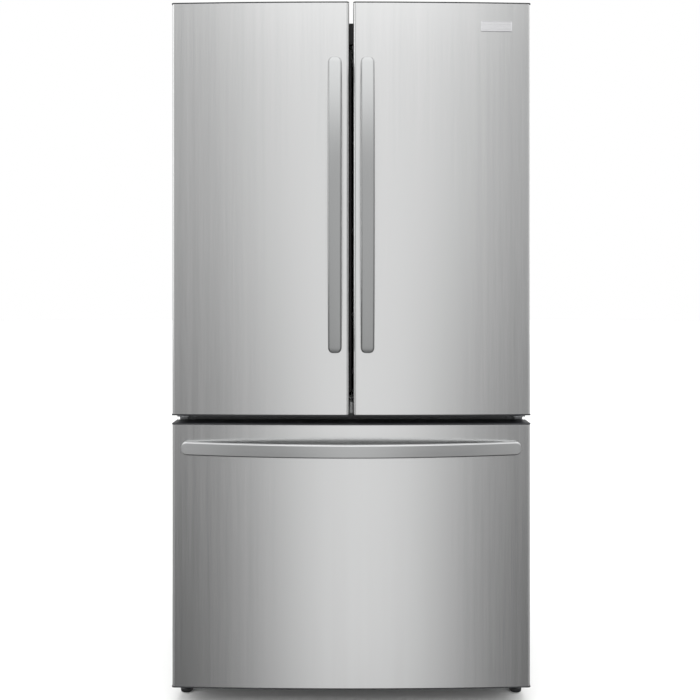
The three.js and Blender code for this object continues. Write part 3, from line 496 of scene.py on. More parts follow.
def joined(*meshes):
    form = bmesh.new()
    for mesh in meshes:
        form.from_mesh(mesh)
    mesh = bpy.data.meshes.new("joined")
    form.to_mesh(mesh)
    form.free()
    return mesh


print("loft and join ready")


# %% [markdown]
# Rounded rectangles are everywhere on an appliance: gaskets, rims, trays and plates. One walk
# round the four corners gives them all. A section can be carried along it, or the outline can be
# stacked in levels.

# %% Outlines and sweeps
def corner_walk(x, v, radius, steps=6):
    """Goes anticlockwise round a rounded rectangle: (centre x, centre v, cosine, sine)."""
    for cx, cv, turn in ((x[1] - radius, v[0] + radius, -90), (x[1] - radius, v[1] - radius, 0),
                         (x[0] + radius, v[1] - radius, 90), (x[0] + radius, v[0] + radius, 180)):
        for i in range(steps + 1):
            angle = math.radians(turn + 90 * i / steps)
            yield cx, cv, math.cos(angle), math.sin(angle)


def rounded_outline(x, v, radius, steps=6):
    return [(cx + radius * c, cv + radius * s) for cx, cv, c, s in corner_walk(x, v, radius, steps)]


def frame_sweep(x, v, radius, section, upright=False):
    """Carries a section of (outward, height) points round a rounded rectangle.
    The rectangle lies flat, or stands up with its height along Y if upright is set."""
    rings = []
    for cx, cv, c, s in corner_walk(x, v, radius):
        flat = [(cx + (radius + u) * c, cv + (radius + u) * s, w) for u, w in section]
        rings.append([(px, w, pv) if upright else (px, pv, w) for px, pv, w in flat])
    return loft(rings, closed=True)


# %% Trays, plates and turned shapes
def walled(x, y, z, wall, radius, lip=4 * MM, taper=4 * MM):
    """An open tray: floor, walls that lean out a little towards the top, and a rolled rim."""
    levels = (
        (taper + 3 * MM, z[0]), (taper, z[0] + 3 * MM), (0.0, z[1] - lip), (0.0, z[1]),
        (wall, z[1]), (wall, z[1] - lip), (taper + wall, z[0] + 4 * MM),
        (taper + wall + 3 * MM, z[0] + wall))
    rings = []
    for inset, level in levels:
        outline = rounded_outline((x[0] + inset, x[1] - inset), (y[0] + inset, y[1] - inset),
                                  max(radius - inset * 0.5, 2 * MM))
        rings.append([(px, py, level) for px, py in outline])
    return loft(rings)


def slab(x, y, z, radius=2 * MM, along="z"):
    """A plate with rounded corners: its outline faces along the stated axis."""
    spans = {"x": (y, z, x), "y": (x, z, y), "z": (x, y, z)}[along]
    place = {"x": lambda u, v, w: (w, u, v), "y": lambda u, v, w: (u, w, v),
             "z": lambda u, v, w: (u, v, w)}[along]
    outline = rounded_outline(spans[0], spans[1], radius)
    return loft([[place(u, v, w) for u, v in outline] for w in spans[2]])


def turned(profile, centre, axis="z", steps=40):
    """A turned piece: profile is (radius, distance along the axis) from end to end."""
    rings = []
    for radius, along in profile:
        ring = []
        for i in range(steps):
            a = 2 * math.pi * i / steps
            u, v = max(radius, 1e-5) * math.cos(a), max(radius, 1e-5) * math.sin(a)
            ring.append({"x": (along, u, v), "y": (u, along, v), "z": (u, v, along)}[axis])
        rings.append([Vector(p) + Vector(centre) for p in ring])
    return loft(rings)


# %% Finish a piece
def settle(obj):
    """Turns an object's modifiers into plain mesh."""
    graph = bpy.context.evaluated_depsgraph_get()
    mesh = bpy.data.meshes.new_from_object(obj.evaluated_get(graph))
    obj.modifiers.clear()
    obj.data = mesh
    return obj


def piece(name, mesh, material, body, replaces=(), edge=0.0, smooth=38):
    """Names a finished mesh, rounds its edges, gives it its finish and lets it ride on a body."""
    obj = bpy.data.objects.new(name, mesh)
    bpy.context.scene.collection.objects.link(obj)
    obj.data.materials.clear()
    obj.data.materials.append(material)
    obj.data.shade_smooth()
    if edge:
        bevel = obj.modifiers.new("edge", "BEVEL")
        bevel.width, bevel.segments = edge, 2
        bevel.limit_method, bevel.angle_limit = "ANGLE", math.radians(smooth)
        settle(obj)
    obj.data.set_sharp_from_angle(angle=math.radians(smooth))
    obj.modifiers.new("even_shading", "WEIGHTED_NORMAL").keep_sharp = True
    settle(obj)
    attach(obj, body)
    if replaces:
        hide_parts(*replaces)
    return obj


# %% Soften a CAD piece
BODY_OF = {node: body for body, nodes in frame["record"]["behaviour"]["bodies"].items()
           for node in nodes}


def softened(node, material, edge, smooth=38):
    """A copy of a CAD node with merged faces and rounded edges, which stands for that node."""
    form = bmesh.new()
    form.from_mesh(frame["nodes"][node].data)
    bmesh.ops.remove_doubles(form, verts=form.verts, dist=1e-6)
    bmesh.ops.dissolve_limit(
        form, angle_limit=math.radians(0.5), verts=form.verts, edges=form.edges)
    mesh = bpy.data.meshes.new(node)
    form.to_mesh(mesh)
    form.free()
    return piece(
        f"{node}_finished", mesh, material, BODY_OF[node], (node,), edge, smooth)


print("nodes with a body:", len(BODY_OF))


# %% [markdown]
# Three small Geometry Nodes trees make what repeats: copies along a line, copies round an axis,
# and a round wire along any set of curves. Each result is made a plain mesh straight away.

# %% Geometry Nodes trees
def new_tree(name, sockets):
    """A tree with named inputs, given as (name, socket type) pairs."""
    tree = bpy.data.node_groups.new(name, "GeometryNodeTree")
    tree.interface.new_socket("Geometry", in_out="INPUT", socket_type="NodeSocketGeometry")
    for label, kind in sockets:
        tree.interface.new_socket(label, in_out="INPUT", socket_type=kind)
    tree.interface.new_socket("Geometry", in_out="OUTPUT", socket_type="NodeSocketGeometry")
    return tree, add_node(tree, "NodeGroupInput").outputs


def end_tree(tree, given, geometry):
    real = add_node(tree, "GeometryNodeRealizeInstances", {"Geometry": geometry})
    painted = add_node(tree, "GeometryNodeSetMaterial", {
        "Geometry": real.outputs[0], "Material": given["Material"]})
    add_node(tree, "NodeGroupOutput", {"Geometry": painted.outputs[0]})
    return tree


# %% The three trees
def line_tree():
    """Copies of a shape, one step apart."""
    tree, given = new_tree("copies_in_a_line", [
        ("Count", "NodeSocketInt"), ("Step", "NodeSocketVector"),
        ("Material", "NodeSocketMaterial")])
    line = add_node(tree, "GeometryNodeMeshLine", {
        "Count": given["Count"], "Offset": given["Step"]}, mode="OFFSET")
    copies = add_node(tree, "GeometryNodeInstanceOnPoints", {
        "Points": line.outputs[0], "Instance": given["Geometry"]})
    return end_tree(tree, given, copies.outputs[0])


def round_tree():
    """Copies of a shape about the origin, one turn apart."""
    tree, given = new_tree("copies_round_an_axis", [
        ("Count", "NodeSocketInt"), ("Turn", "NodeSocketVector"),
        ("Material", "NodeSocketMaterial")])
    line = add_node(tree, "GeometryNodeMeshLine", {
        "Count": given["Count"], "Offset": (0, 0, 0)}, mode="OFFSET")
    number = add_node(tree, "GeometryNodeInputIndex").outputs[0]
    turn = add_node(tree, "ShaderNodeVectorMath", {
        0: given["Turn"], "Scale": number}, operation="SCALE").outputs[0]
    copies = add_node(tree, "GeometryNodeInstanceOnPoints", {
        "Points": line.outputs[0], "Instance": given["Geometry"], "Rotation": turn})
    return end_tree(tree, given, copies.outputs[0])


def wire_tree():
    """A round wire along every curve."""
    tree, given = new_tree("round_wire", [
        ("Radius", "NodeSocketFloat"), ("Sides", "NodeSocketInt"),
        ("Material", "NodeSocketMaterial")])
    section = add_node(tree, "GeometryNodeCurvePrimitiveCircle", {
        "Resolution": given["Sides"], "Radius": given["Radius"]})
    swept = add_node(tree, "GeometryNodeCurveToMesh", {
        "Curve": given["Geometry"], "Profile Curve": section.outputs[0], "Fill Caps": True})
    return end_tree(tree, given, swept.outputs[0])


LINE, ROUND, WIRE = line_tree(), round_tree(), wire_tree()


# %% Run a tree
def grown(data, tree, material, **values):
    """Runs a tree on some data and returns the plain mesh that it makes."""
    obj = bpy.data.objects.new("growing", data)
    bpy.context.scene.collection.objects.link(obj)
    modifier = obj.modifiers.new("tree", "NODES")
    modifier.node_group = tree
    for socket in tree.interface.items_tree:
        if socket.in_out == "INPUT" and socket.name in values:
            modifier[socket.identifier] = values[socket.name]
        elif socket.in_out == "INPUT" and socket.name == "Material":
            modifier[socket.identifier] = material
    graph = bpy.context.evaluated_depsgraph_get()
    mesh = bpy.data.meshes.new_from_object(obj.evaluated_get(graph))
    bpy.data.objects.remove(obj)
    return mesh


def moved(mesh, *offset):
    mesh.transform(Matrix.Translation(offset))
    return mesh


def in_line(mesh, count, step, material):
    return grown(mesh, LINE, material, Count=count, Step=step)


def in_ring(mesh, count, turn, centre, material):
    """Copies round an axis through the origin, then moved to their centre."""
    return moved(grown(mesh, ROUND, material, Count=count, Turn=turn), *centre)


def wires(paths, radius, material, sides=10):
    """Round wires along the paths, each (points, is it closed)."""
    curve = bpy.data.curves.new("wires", "CURVE")
    curve.dimensions = "3D"
    for points, closed in paths:
        spline = curve.splines.new("POLY")
        spline.points.add(len(points) - 1)
        for point, place in zip(spline.points, points):
            point.co = (*place, 1)
        spline.use_cyclic_u = closed
    return grown(curve, WIRE, material, Radius=radius, Sides=sides)


print("trees:", [t.name for t in (LINE, ROUND, WIRE)])


# %% [markdown]
# ## The stainless fronts
# Each front is one stainless sheet, folded back at both sides and pressed to a wide arc, so its
# middle stands 10.5 mm ahead of its edges. A fine arc matters here: a reflection shows every
# flat step. The outline is drawn once, and the sheet is the strip between it and its own offset.

# %% Bowed outline
BOW = 10.5 * MM
SHEET = 1.0 * MM
FOLD_RADIUS = 7 * MM
HALF_WIDTH = front_high.x
BOW_RADIUS = (HALF_WIDTH ** 2 + BOW ** 2) / (2 * BOW)


def front_y(x, inset=0.0):
    return FRONT_Y + BOW_RADIUS - math.sqrt((BOW_RADIUS - inset) ** 2 - x * x)


def bowed_outline(left, right, rear, inset=0.0, steps=48, fold_steps=8):
    """The plan of a front, from its left rear edge round to its right rear edge."""
    left, right, corner = left + inset, right - inset, FOLD_RADIUS - inset
    points = [(left, rear)]
    for i in range(fold_steps + 1):
        a = math.pi / 2 * i / fold_steps
        points.append((left + corner * (1 - math.cos(a)),
                       front_y(left + corner, inset) + corner * (1 - math.sin(a))))
    for i in range(1, steps):
        x = left + corner + (right - left - 2 * corner) * i / steps
        points.append((x, front_y(x, inset)))
    for i in range(fold_steps + 1):
        a = math.pi / 2 * (1 - i / fold_steps)
        points.append((right - corner * (1 - math.cos(a)),
                       front_y(right - corner, inset) + corner * (1 - math.sin(a))))
    return points + [(right, rear)]


# %% Door and drawer fronts
FRONTS = ("left_door", "right_door", "drawer")
for body in FRONTS:
    low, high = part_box(f"{body}_panel")
    outside = bowed_outline(low.x, high.x, high.y)
    inside = bowed_outline(low.x, high.x, high.y, SHEET)
    strip = outside + inside[::-1]
    sheet = loft([[(x, y, z) for x, y in strip] for z in (low.z, high.z)])
    piece(f"{body}_steel_front", sheet, stainless_front, body,
          (f"{body}_panel",), edge=0.35 * MM)
    for cap in ("top_cap", "bottom_cap"):
        softened(f"{body}_{cap}", dark_cap, 0.8 * MM)
    print(body, "front", round((high.x - low.x) / MM), "by", round((high.z - low.z) / MM), "mm")

# %% [markdown]
# ## The strap handles
# The handles are bowed straps of brushed steel with rounded edges and ends. Each end turns in to
# stand on the door. The strap is lofted from rounded sections whose inner side steps down to the
# door over the last 40 mm, and the sections are set closer together where the shape turns fast.

# %% Strap handle
FOOT = 40 * MM
STRAP_THICKNESS = 12 * MM
END_REACH = 14 * MM
END_RADIUS = 14 * MM
STRAP_EDGE = 4 * MM
STRAP_CROWN = 1.8 * MM
SOLE_GAP = 0.3 * MM


def ease(t):
    t = min(max(t, 0.0), 1.0)
    return t * t * (3 - 2 * t)


def strap_section(half, low, high):
    """A rounded section of the strap, as (across, height) points, crowned on its outer side."""
    radius = min(STRAP_EDGE, half * 0.9, (high - low) * 0.45)
    outline = rounded_outline((-half, half), (low, high - STRAP_CROWN), radius, 5)
    return [(w, h + STRAP_CROWN * (1 - (w / half) ** 2) * ease((h - low) / (high - low)))
            for w, h in outline]


def strap_stations(length):
    """Distances along the strap, close together at the ends and at the feet."""
    near = [END_RADIUS * (1 - math.cos(math.pi / 2 * i / 8)) for i in range(9)]
    turn = [END_RADIUS + (FOOT + 16 * MM - END_RADIUS) * i / 22 for i in range(1, 23)]
    side = near + turn
    middle = [side[-1] + (length - 2 * side[-1]) * i / 60 for i in range(1, 60)]
    return side + middle + [length - u for u in reversed(side)]


def strap(length, width, reach, ground):
    """Rings of (along, across, height) for a handle that stands on the surface ground(along)."""
    rings = []
    for u in strap_stations(length):
        end = min(u, length - u)
        crown = ground(u) + END_REACH + 4 * (reach - END_REACH) * u * (length - u) / length ** 2
        round_off = END_RADIUS - math.sqrt(max(END_RADIUS ** 2 - max(END_RADIUS - end, 0) ** 2, 0))
        sole = ground(u) + SOLE_GAP
        clear = ease((end - FOOT + 8 * MM) / (16 * MM))
        inner = sole + (crown - STRAP_THICKNESS - sole) * clear
        half = width / 2 - round_off * 0.8
        rings.append([(u, w, h) for w, h in strap_section(half, inner, crown - round_off * 0.15)])
    return rings


for side in ("left", "right"):
    low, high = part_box(f"{side}_door_handle")
    reach = FRONT_Y - low.y
    rings = strap(high.z - low.z, high.x - low.x, reach, lambda u: 0.0)
    centre = (low.x + high.x) / 2
    placed = [[(centre + w, FRONT_Y - h, low.z + u) for u, w, h in ring] for ring in rings]
    piece(f"{side}_strap_handle", loft(placed), strap_steel_painted_shade, f"{side}_door",
          (f"{side}_door_handle",), smooth=50)

low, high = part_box("drawer_handle")
length = high.x - low.x
rings = strap(length, high.z - low.z, FRONT_Y - low.y, lambda u: FRONT_Y - front_y(u + low.x))
centre = (low.z + high.z) / 2
placed = [[(low.x + u, FRONT_Y - h, centre + w) for u, w, h in ring] for ring in rings]
piece("drawer_strap_handle", loft(placed), cross_steel_painted_shade, "drawer",
      ("drawer_handle",), smooth=50)
print("handle", round(reach / MM), "mm off the door")

# %% [markdown]
# ## Blank badge
# The badge is a small bright plate glued to the right door. It carries no mark here: a raised
# border round a plain field. It lies on the arc, so it is made flat and then turned to it.

# %% Badge
low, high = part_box("badge_plate")
BADGE_X = (low.x + high.x) / 2
badge_width, badge_height = high.x - low.x, high.z - low.z
BORDER = 1.4 * MM
levels = ((0.0, 0.3 * MM), (0.0, 1.15 * MM), (0.35 * MM, 1.5 * MM), (BORDER, 1.5 * MM),
          (BORDER + 0.3 * MM, 1.15 * MM))
rings = []
for inset, rise in levels:
    outline = rounded_outline(
        (-badge_width / 2 + inset, badge_width / 2 - inset),
        (-badge_height / 2 + inset, badge_height / 2 - inset), 2.2 * MM - inset * 0.6, 5)
    rings.append([(u, -rise, v) for u, v in outline])
badge = loft(rings)
badge.transform(Matrix.Translation((BADGE_X, front_y(BADGE_X), (low.z + high.z) / 2))
                @ Matrix.Rotation(math.asin(BADGE_X / BOW_RADIUS), 4, "Z"))
piece("blank_badge", badge, badge_plate_finish, "right_door", ("badge_plate",),
      smooth=25)


# %% [markdown]
# ## Case, liners and pressed parts
# These have the right shape in the CAD already. What a real sheet or moulding adds is the rounded
# edge that catches the light: under half a millimetre on folded sheet, and a few millimetres on
# the vacuum-formed liners, where the hot plastic can't follow a sharp corner.

# %% Pieces with rounded edges
ROUNDED = (
    (case_paint, 0.35, ("outer_case", "back_panel")),
    (white_liner, 3.0, ("foamed_liner",)),
    (white_liner, 2.2, ("left_door_liner", "right_door_liner", "drawer_liner")),
    (white_liner, 1.6, ("evaporator_cover", "air_duct", "control_panel")),
    (rail_paint, 0.3, ("centre_rail",)),
    (zinc, 0.5, ("base_frame", "drawer_frame", "left_freezer_rail", "right_freezer_rail")),
    (zinc, 0.6, ("left_top_hinge", "right_top_hinge", "left_centre_hinge", "right_centre_hinge")),
    (grey_cover, 1.8, ("left_hinge_cover", "right_hinge_cover")),
    (grey_cover, 0.4, ("machine_cover",)),
    (dark_cap, 0.6, ("toe_grille",)),
    (black_bar, 1.2, ("flipper_bar",)),
)
for material, edge, nodes in ROUNDED:
    for node in nodes:
        softened(node, material, edge * MM)
print("rounded:", sum(len(nodes) for _, _, nodes in ROUNDED), "pieces")


# %% [markdown]
# ## Gaskets
# A door gasket is one extruded vinyl profile, welded at the corners: a lip pressed into the
# liner, soft bellows that take up the gap, and a box that holds the magnet strip. The section
# below is drawn once and carried round each opening.

# %% Gaskets
BELLOWS = ((0.5, 0.0), (0.5, 0.1), (0.2, 0.16), (0.4, 0.28), (0.2, 0.4), (0.4, 0.52), (0.42, 0.62),
           (0.5, 0.68), (0.5, 0.94), (0.44, 1.0))
GASKET_SECTION = BELLOWS + tuple((-u, w) for u, w in reversed(BELLOWS))
GASKET_WIDTH = 14 * MM
for body in FRONTS:
    node = f"{body}_gasket"
    low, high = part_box(node)
    half = GASKET_WIDTH / 2
    section = [(u * GASKET_WIDTH, low.y + w * (high.y - low.y)) for u, w in GASKET_SECTION]
    mesh = frame_sweep((low.x + half, high.x - half), (low.z + half, high.z - half),
                       12 * MM, section, upright=True)
    piece(f"{node}_bellows", mesh, gasket_vinyl, body, (node,), smooth=55)


# %% [markdown]
# ## Shelves
# Each shelf is a pane of tempered glass in a moulded white rim. The nose at the front is deeper
# and turns down, to keep spills on the shelf. Two steel arms carry each shelf and hook into
# slotted ladders on the back wall, which Geometry Nodes repeats.

# %% Shelves
PANE = 4 * MM
RIM = 14 * MM
ARM_DROP = 21 * MM
RIM_SECTION = ((-13, 0.6), (-13, 4.6), (-11, 5.6), (-2, 6.2), (0, 4.4), (0, -3.6), (-1.2, -5),
               (-12, -5), (-13, -4))


def glass_shelf(name, node, x, y, top, radius=10 * MM):
    """A framed pane; top is the level of the glass. Makes the rim and the pane as two pieces."""
    section = [(u * MM, top + w * MM) for u, w in RIM_SECTION]
    rim = frame_sweep(x, y, radius, section)
    nose = slab((x[0] + 12 * MM, x[1] - 12 * MM), (y[0] + 0.4 * MM, y[0] + 6 * MM),
                (top - 14 * MM, top + 4 * MM), 1.6 * MM, along="x")
    piece(f"{name}_rim", joined(rim, nose), white_coat, "cabinet", (node,))
    inset = RIM - 2 * MM
    pane = slab((x[0] + inset, x[1] - inset), (y[0] + inset, y[1] - inset),
                (top - PANE, top), 5 * MM)
    piece(f"{name}_pane", pane, glass, "cabinet", (node,), edge=0.5 * MM)


ARM_OUTLINE = ((-220, -4), (-214, -8), (-60, -20), (-6, -21), (-2, -19), (-2, -1), (-220, -1))


def shelf_arms(x, rear, top):
    meshes = []
    for at in x:
        rings = [[(at + side * 1.5 * MM, rear + u * MM, top + w * MM) for u, w in ARM_OUTLINE]
                 for side in (-1, 1)]
        meshes.append(loft(rings))
    return joined(*meshes)


SHELVES = ("upper_shelf_left", "upper_shelf_right", "lower_shelf")
for node in SHELVES:
    low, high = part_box(node)
    top = low.z + ARM_DROP
    glass_shelf(node, node, (low.x, high.x), (low.y, high.y), top)
    arms = shelf_arms((low.x + RIM, high.x - RIM), high.y, top)
    piece(f"{node}_arms", arms, white_coat, "cabinet", (node,), edge=0.4 * MM)

low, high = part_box("crisper_cover")
cover_top = high.z - 3 * MM
COVER_SECTION = ((-16, 0.6), (-16, 2), (-14, 3), (-2, 3), (0, 1.6), (0, -5), (-1, -6),
                 (-15, -6), (-16, -5))
rim = frame_sweep((low.x, high.x), (low.y, high.y), 8 * MM,
                  [(u * MM, cover_top + w * MM) for u, w in COVER_SECTION])
spine = slab((-10 * MM, 10 * MM), (low.y + 12 * MM, high.y - 12 * MM),
             (cover_top - 5 * MM, cover_top + 2.6 * MM), 2 * MM)
piece("crisper_cover_rim", joined(rim, spine), white_coat, "cabinet",
      ("crisper_cover",))
panes = [slab(x, (low.y + 14 * MM, high.y - 14 * MM), (cover_top - PANE, cover_top), 4 * MM)
         for x in ((low.x + 14 * MM, -9 * MM), (9 * MM, high.x - 14 * MM))]
piece("crisper_cover_panes", joined(*panes), glass, "cabinet",
      ("crisper_cover",), edge=0.5 * MM)


# %% [markdown]
# Four slotted strips on the back wall take the hooks of the shelf arms. A strip is a frame sweep,
# and its slots are one rung, copied upwards. Cutting each slot with a boolean would give the
# same look for far more faces.

# %% Shelf ladders
LADDER_LOW, LADDER_HIGH = 1.02, 1.66
SLOT_PITCH = 25 * MM
_, duct_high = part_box("air_duct")
LADDER_X = (-0.376, -0.118, 0.118, 0.376)  # under the arms of the half width shelves
slot_count = int((LADDER_HIGH - LADDER_LOW) / SLOT_PITCH) - 1
for number, x in enumerate(LADDER_X):
    strip = frame_sweep((x - 8 * MM, x + 8 * MM), (LADDER_LOW, LADDER_HIGH), 3 * MM,
                        [(0, duct_high.y), (0, duct_high.y - 2.4 * MM),
                         (-4.5 * MM, duct_high.y - 3 * MM), (-4.5 * MM, duct_high.y)],
                        upright=True)
    rung = slab((x - 4.4 * MM, x + 4.4 * MM), (duct_high.y - 2.8 * MM, duct_high.y - 0.4 * MM),
                (LADDER_LOW + 12 * MM, LADDER_LOW + 20 * MM), 1 * MM, along="y")
    rungs = in_line(rung, slot_count, (0, 0, SLOT_PITCH), white_coat)
    piece(f"shelf_ladder_{number + 1}", joined(strip, rungs), white_coat, "cabinet")
print("ladder slots:", slot_count, "in each of", len(LADDER_X))


# %% [markdown]
# ## Bins and crispers
# Clear trays, injection moulded: thin leaning walls, a rolled rim and a few ribs to stiffen the
# front. The doors carry more bins than the CAD's two each, so one more stands between them.

# %% Door bins
def door_bin(x, y, z):
    body = walled(x, y, z, 2.5 * MM, 12 * MM)
    rim = frame_sweep(x, y, 12 * MM, [
        (-0.4 * MM, z[1] - 7 * MM), (1.8 * MM, z[1] - 6 * MM), (1.8 * MM, z[1] - 1 * MM),
        (0.6 * MM, z[1]), (-2.6 * MM, z[1]), (-2.6 * MM, z[1] - 3 * MM)])
    return joined(body, rim)


BIN_SHRINK = 2 * MM
for side in ("left", "right"):
    spans = {}
    for level in ("lower", "upper"):
        low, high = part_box(f"{side}_door_bin_{level}")
        spans[level] = (low.z, high.z)
    x = (low.x + BIN_SHRINK, high.x - BIN_SHRINK)
    y = (low.y + BIN_SHRINK, high.y - BIN_SHRINK)
    gap = (spans["lower"][0] + spans["upper"][0]) / 2
    spans["middle"] = (gap, gap + spans["upper"][1] - spans["upper"][0])
    for level, z in spans.items():
        replaced = () if level == "middle" else (f"{side}_door_bin_{level}",)
        piece(f"{side}_bin_{level}", door_bin(x, y, z), clear_tray, f"{side}_door",
              replaced)

# %% Crispers
for side in ("left", "right"):
    node = f"{side}_crisper"
    low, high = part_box(node)
    front = low.y + 12 * MM
    x, z = (low.x + 1 * MM, high.x - 1 * MM), (low.z, high.z)
    body = walled(x, (front, high.y), z, 3 * MM, 14 * MM, taper=6 * MM)
    grip = slab((low.x + 40 * MM, high.x - 40 * MM), (low.y, front + 4 * MM),
                (high.z - 30 * MM, high.z - 22 * MM), 2.6 * MM, along="x")
    fascia = slab((x[0] + 3 * MM, x[1] - 3 * MM), (front - 1.5 * MM, front + 2 * MM),
                  (high.z - 46 * MM, high.z - 1 * MM), 3 * MM, along="y")
    rib = slab((low.x + 40 * MM, low.x + 43 * MM), (front + 1.5 * MM, front + 7 * MM),
               (low.z + 12 * MM, high.z - 50 * MM), 1 * MM)
    ribs = in_line(rib, 6, (56 * MM, 0, 0), clear_tray)
    piece(f"{node}_tray", joined(body, ribs), clear_tray, f"{side}_crisper_drawer",
          (node,))
    piece(f"{node}_grip", joined(grip, fascia), white_coat, f"{side}_crisper_drawer",
          (node,), edge=0.8 * MM)
print("trays done")


# %% [markdown]
# ## Freezer baskets
# Both baskets are welded from steel wire and dipped in vinyl: thick wires round the rim and
# floor, thin ones up the walls and across the floor. The wires are curves, and a Geometry Nodes
# tree gives each its round section.

# %% Wire baskets
WIRE_PITCH = 24 * MM


def basket_paths(x, y, z, radius, inset):
    """The thick frame wires and the thin upright and floor wires of one basket."""
    def loop(level, lean):
        outline = rounded_outline((x[0] + lean, x[1] - lean), (y[0] + lean, y[1] - lean), radius)
        return [(px, py, level) for px, py in outline], True

    middle = (z[0] + z[1]) / 2
    frames = [loop(z[1], 0), loop(middle, inset / 2), loop(z[0], inset)]
    bars = []
    across = int((x[1] - x[0] - 2 * radius) / WIRE_PITCH)
    for i in range(across + 1):
        px = x[0] + radius + (x[1] - x[0] - 2 * radius) * i / across
        bars.append(([(px, y[0], z[1]), (px, y[0] + inset, z[0] + 2 * MM),
                      (px, y[0] + inset + 3 * MM, z[0]), (px, y[1] - inset - 3 * MM, z[0]),
                      (px, y[1] - inset, z[0] + 2 * MM), (px, y[1], z[1])], False))
    deep = int((y[1] - y[0] - 2 * radius) / (2 * WIRE_PITCH))
    for i in range(deep + 1):
        py = y[0] + radius + (y[1] - y[0] - 2 * radius) * i / deep
        bars.append(([(x[0], py, z[1]), (x[0] + inset, py, z[0] - 1 * MM),
                      (x[1] - inset, py, z[0] - 1 * MM), (x[1], py, z[1])], False))
    return frames, bars


for node, flange in (("lower_basket", 0.0), ("upper_basket", 22 * MM)):
    low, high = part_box(node)
    x = (low.x + flange + 4 * MM, high.x - flange - 4 * MM)
    y = (low.y + 4 * MM, high.y - 4 * MM)
    frames, bars = basket_paths(x, y, (low.z + 5 * MM, high.z - 4 * MM), 24 * MM, 12 * MM)
    if flange:
        for edge, inner in ((low.x + 3 * MM, x[0]), (high.x - 3 * MM, x[1])):
            level = low.z + 22 * MM
            frames.append(([(inner, y[0] + 30 * MM, level), (edge, y[0] + 40 * MM, level),
                            (edge, y[1] - 40 * MM, level), (inner, y[1] - 30 * MM, level)], False))
    mesh = joined(wires(frames, 3 * MM, white_coat), wires(bars, 1.5 * MM, white_coat, 8))
    piece(f"{node}_wires", mesh, white_coat, BODY_OF[node], (node,))
    print(node, len(frames), "frame wires,", len(bars), "bars")


# %% [markdown]
# ## Cooling machine
# The compressor is a deep-drawn steel pot, welded round its middle, on a plate with four rubber
# feet. Beside it the condenser is a block of thin aluminium fins on a serpentine copper tube, and
# a fan pulls air through it. The evaporator behind the freezer is made the same way. The CAD
# keeps only a few fins, so the full row is grown here with Geometry Nodes.

# %% Compressor
low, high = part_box("compressor")
pot_y = (low.y + high.y) / 2
pot_x = low.x + 92 * MM
POT = ((0, 50), (46, 50), (56, 53), (64, 60), (69, 74), (70, 84), (70, 122), (73, 123), (73, 128),
       (70, 129), (70, 150), (67, 172), (60, 189), (48, 201), (30, 208), (0, 210))
pot = turned([(r * MM * 0.96, z * MM) for r, z in POT], (pot_x, pot_y, 0), steps=56)
plate = slab((pot_x - 86 * MM, pot_x + 86 * MM), (pot_y - 60 * MM, pot_y + 60 * MM),
             (46.5 * MM, 49.5 * MM), 16 * MM)
terminal = slab((pot_x - 90 * MM, pot_x - 58 * MM), (pot_y - 22 * MM, pot_y + 22 * MM),
                (110 * MM, 160 * MM), 6 * MM)
piece("compressor_pot", joined(pot, plate), black_enamel, "cabinet",
      ("compressor",), edge=0.8 * MM)
piece("compressor_terminal_cover", terminal, black_bar, "cabinet",
      ("compressor",), edge=1.5 * MM)
GROMMET = ((0, 40.2), (9, 40.2), (9, 43), (6.5, 44), (6.5, 46), (9, 46.4), (8, 51.5), (0, 52))
grommets = [turned([(r * MM, z * MM) for r, z in GROMMET],
                   (pot_x + across * 72 * MM, pot_y + deep * 46 * MM, 0), steps=24)
            for across in (-1, 1) for deep in (-1, 1)]
piece("compressor_grommets", joined(*grommets), gasket_vinyl, "cabinet",
      ("compressor",))


# %% Finned coils
def serpentine(x, y, levels, bend_steps=8):
    """One tube that runs to and fro along X, one level after another."""
    points = []
    for number, z in enumerate(levels):
        ends = x if number % 2 == 0 else x[::-1]
        points.append((ends[0], y, z))
        points.append((ends[1], y, z))
        if number + 1 < len(levels):
            radius = (levels[number + 1] - z) / 2
            outward = 1 if ends[1] > ends[0] else -1
            for i in range(1, bend_steps):
                a = math.pi * i / bend_steps
                points.append((ends[1] + outward * radius * math.sin(a), y,
                               z + radius * (1 - math.cos(a))))
    return points, False


def finned_coil(name, node, x, y, z, pitch, rows, tube_step):
    """Fins across X between two end plates, with a serpentine tube for each row."""
    bend = tube_step / 2 + 4 * MM
    inner = (x[0] + bend, x[1] - bend)
    fin = slab((inner[0], inner[0] + 0.3 * MM), y, z, 1.5 * MM, along="x")
    count = int((inner[1] - inner[0]) / pitch)
    fins = in_line(fin, count, ((inner[1] - inner[0]) / count, 0, 0), aluminium)
    plates = [slab((at, at + 1.2 * MM), y, z, 2 * MM, along="x") for at in inner]
    piece(f"{name}_fins", joined(fins, *plates), aluminium, "cabinet", (node,))
    steps = int((z[1] - z[0] - 20 * MM) / tube_step)
    start = (z[0] + z[1] - steps * tube_step) / 2
    levels = [start + i * tube_step for i in range(steps + 1)]
    tubes = wires([serpentine(inner, row, levels) for row in rows], 3.6 * MM, copper, 12)
    piece(f"{name}_tubes", tubes, copper, "cabinet", (node,))
    print(name, count, "fins,", len(levels) * len(rows), "tube runs")


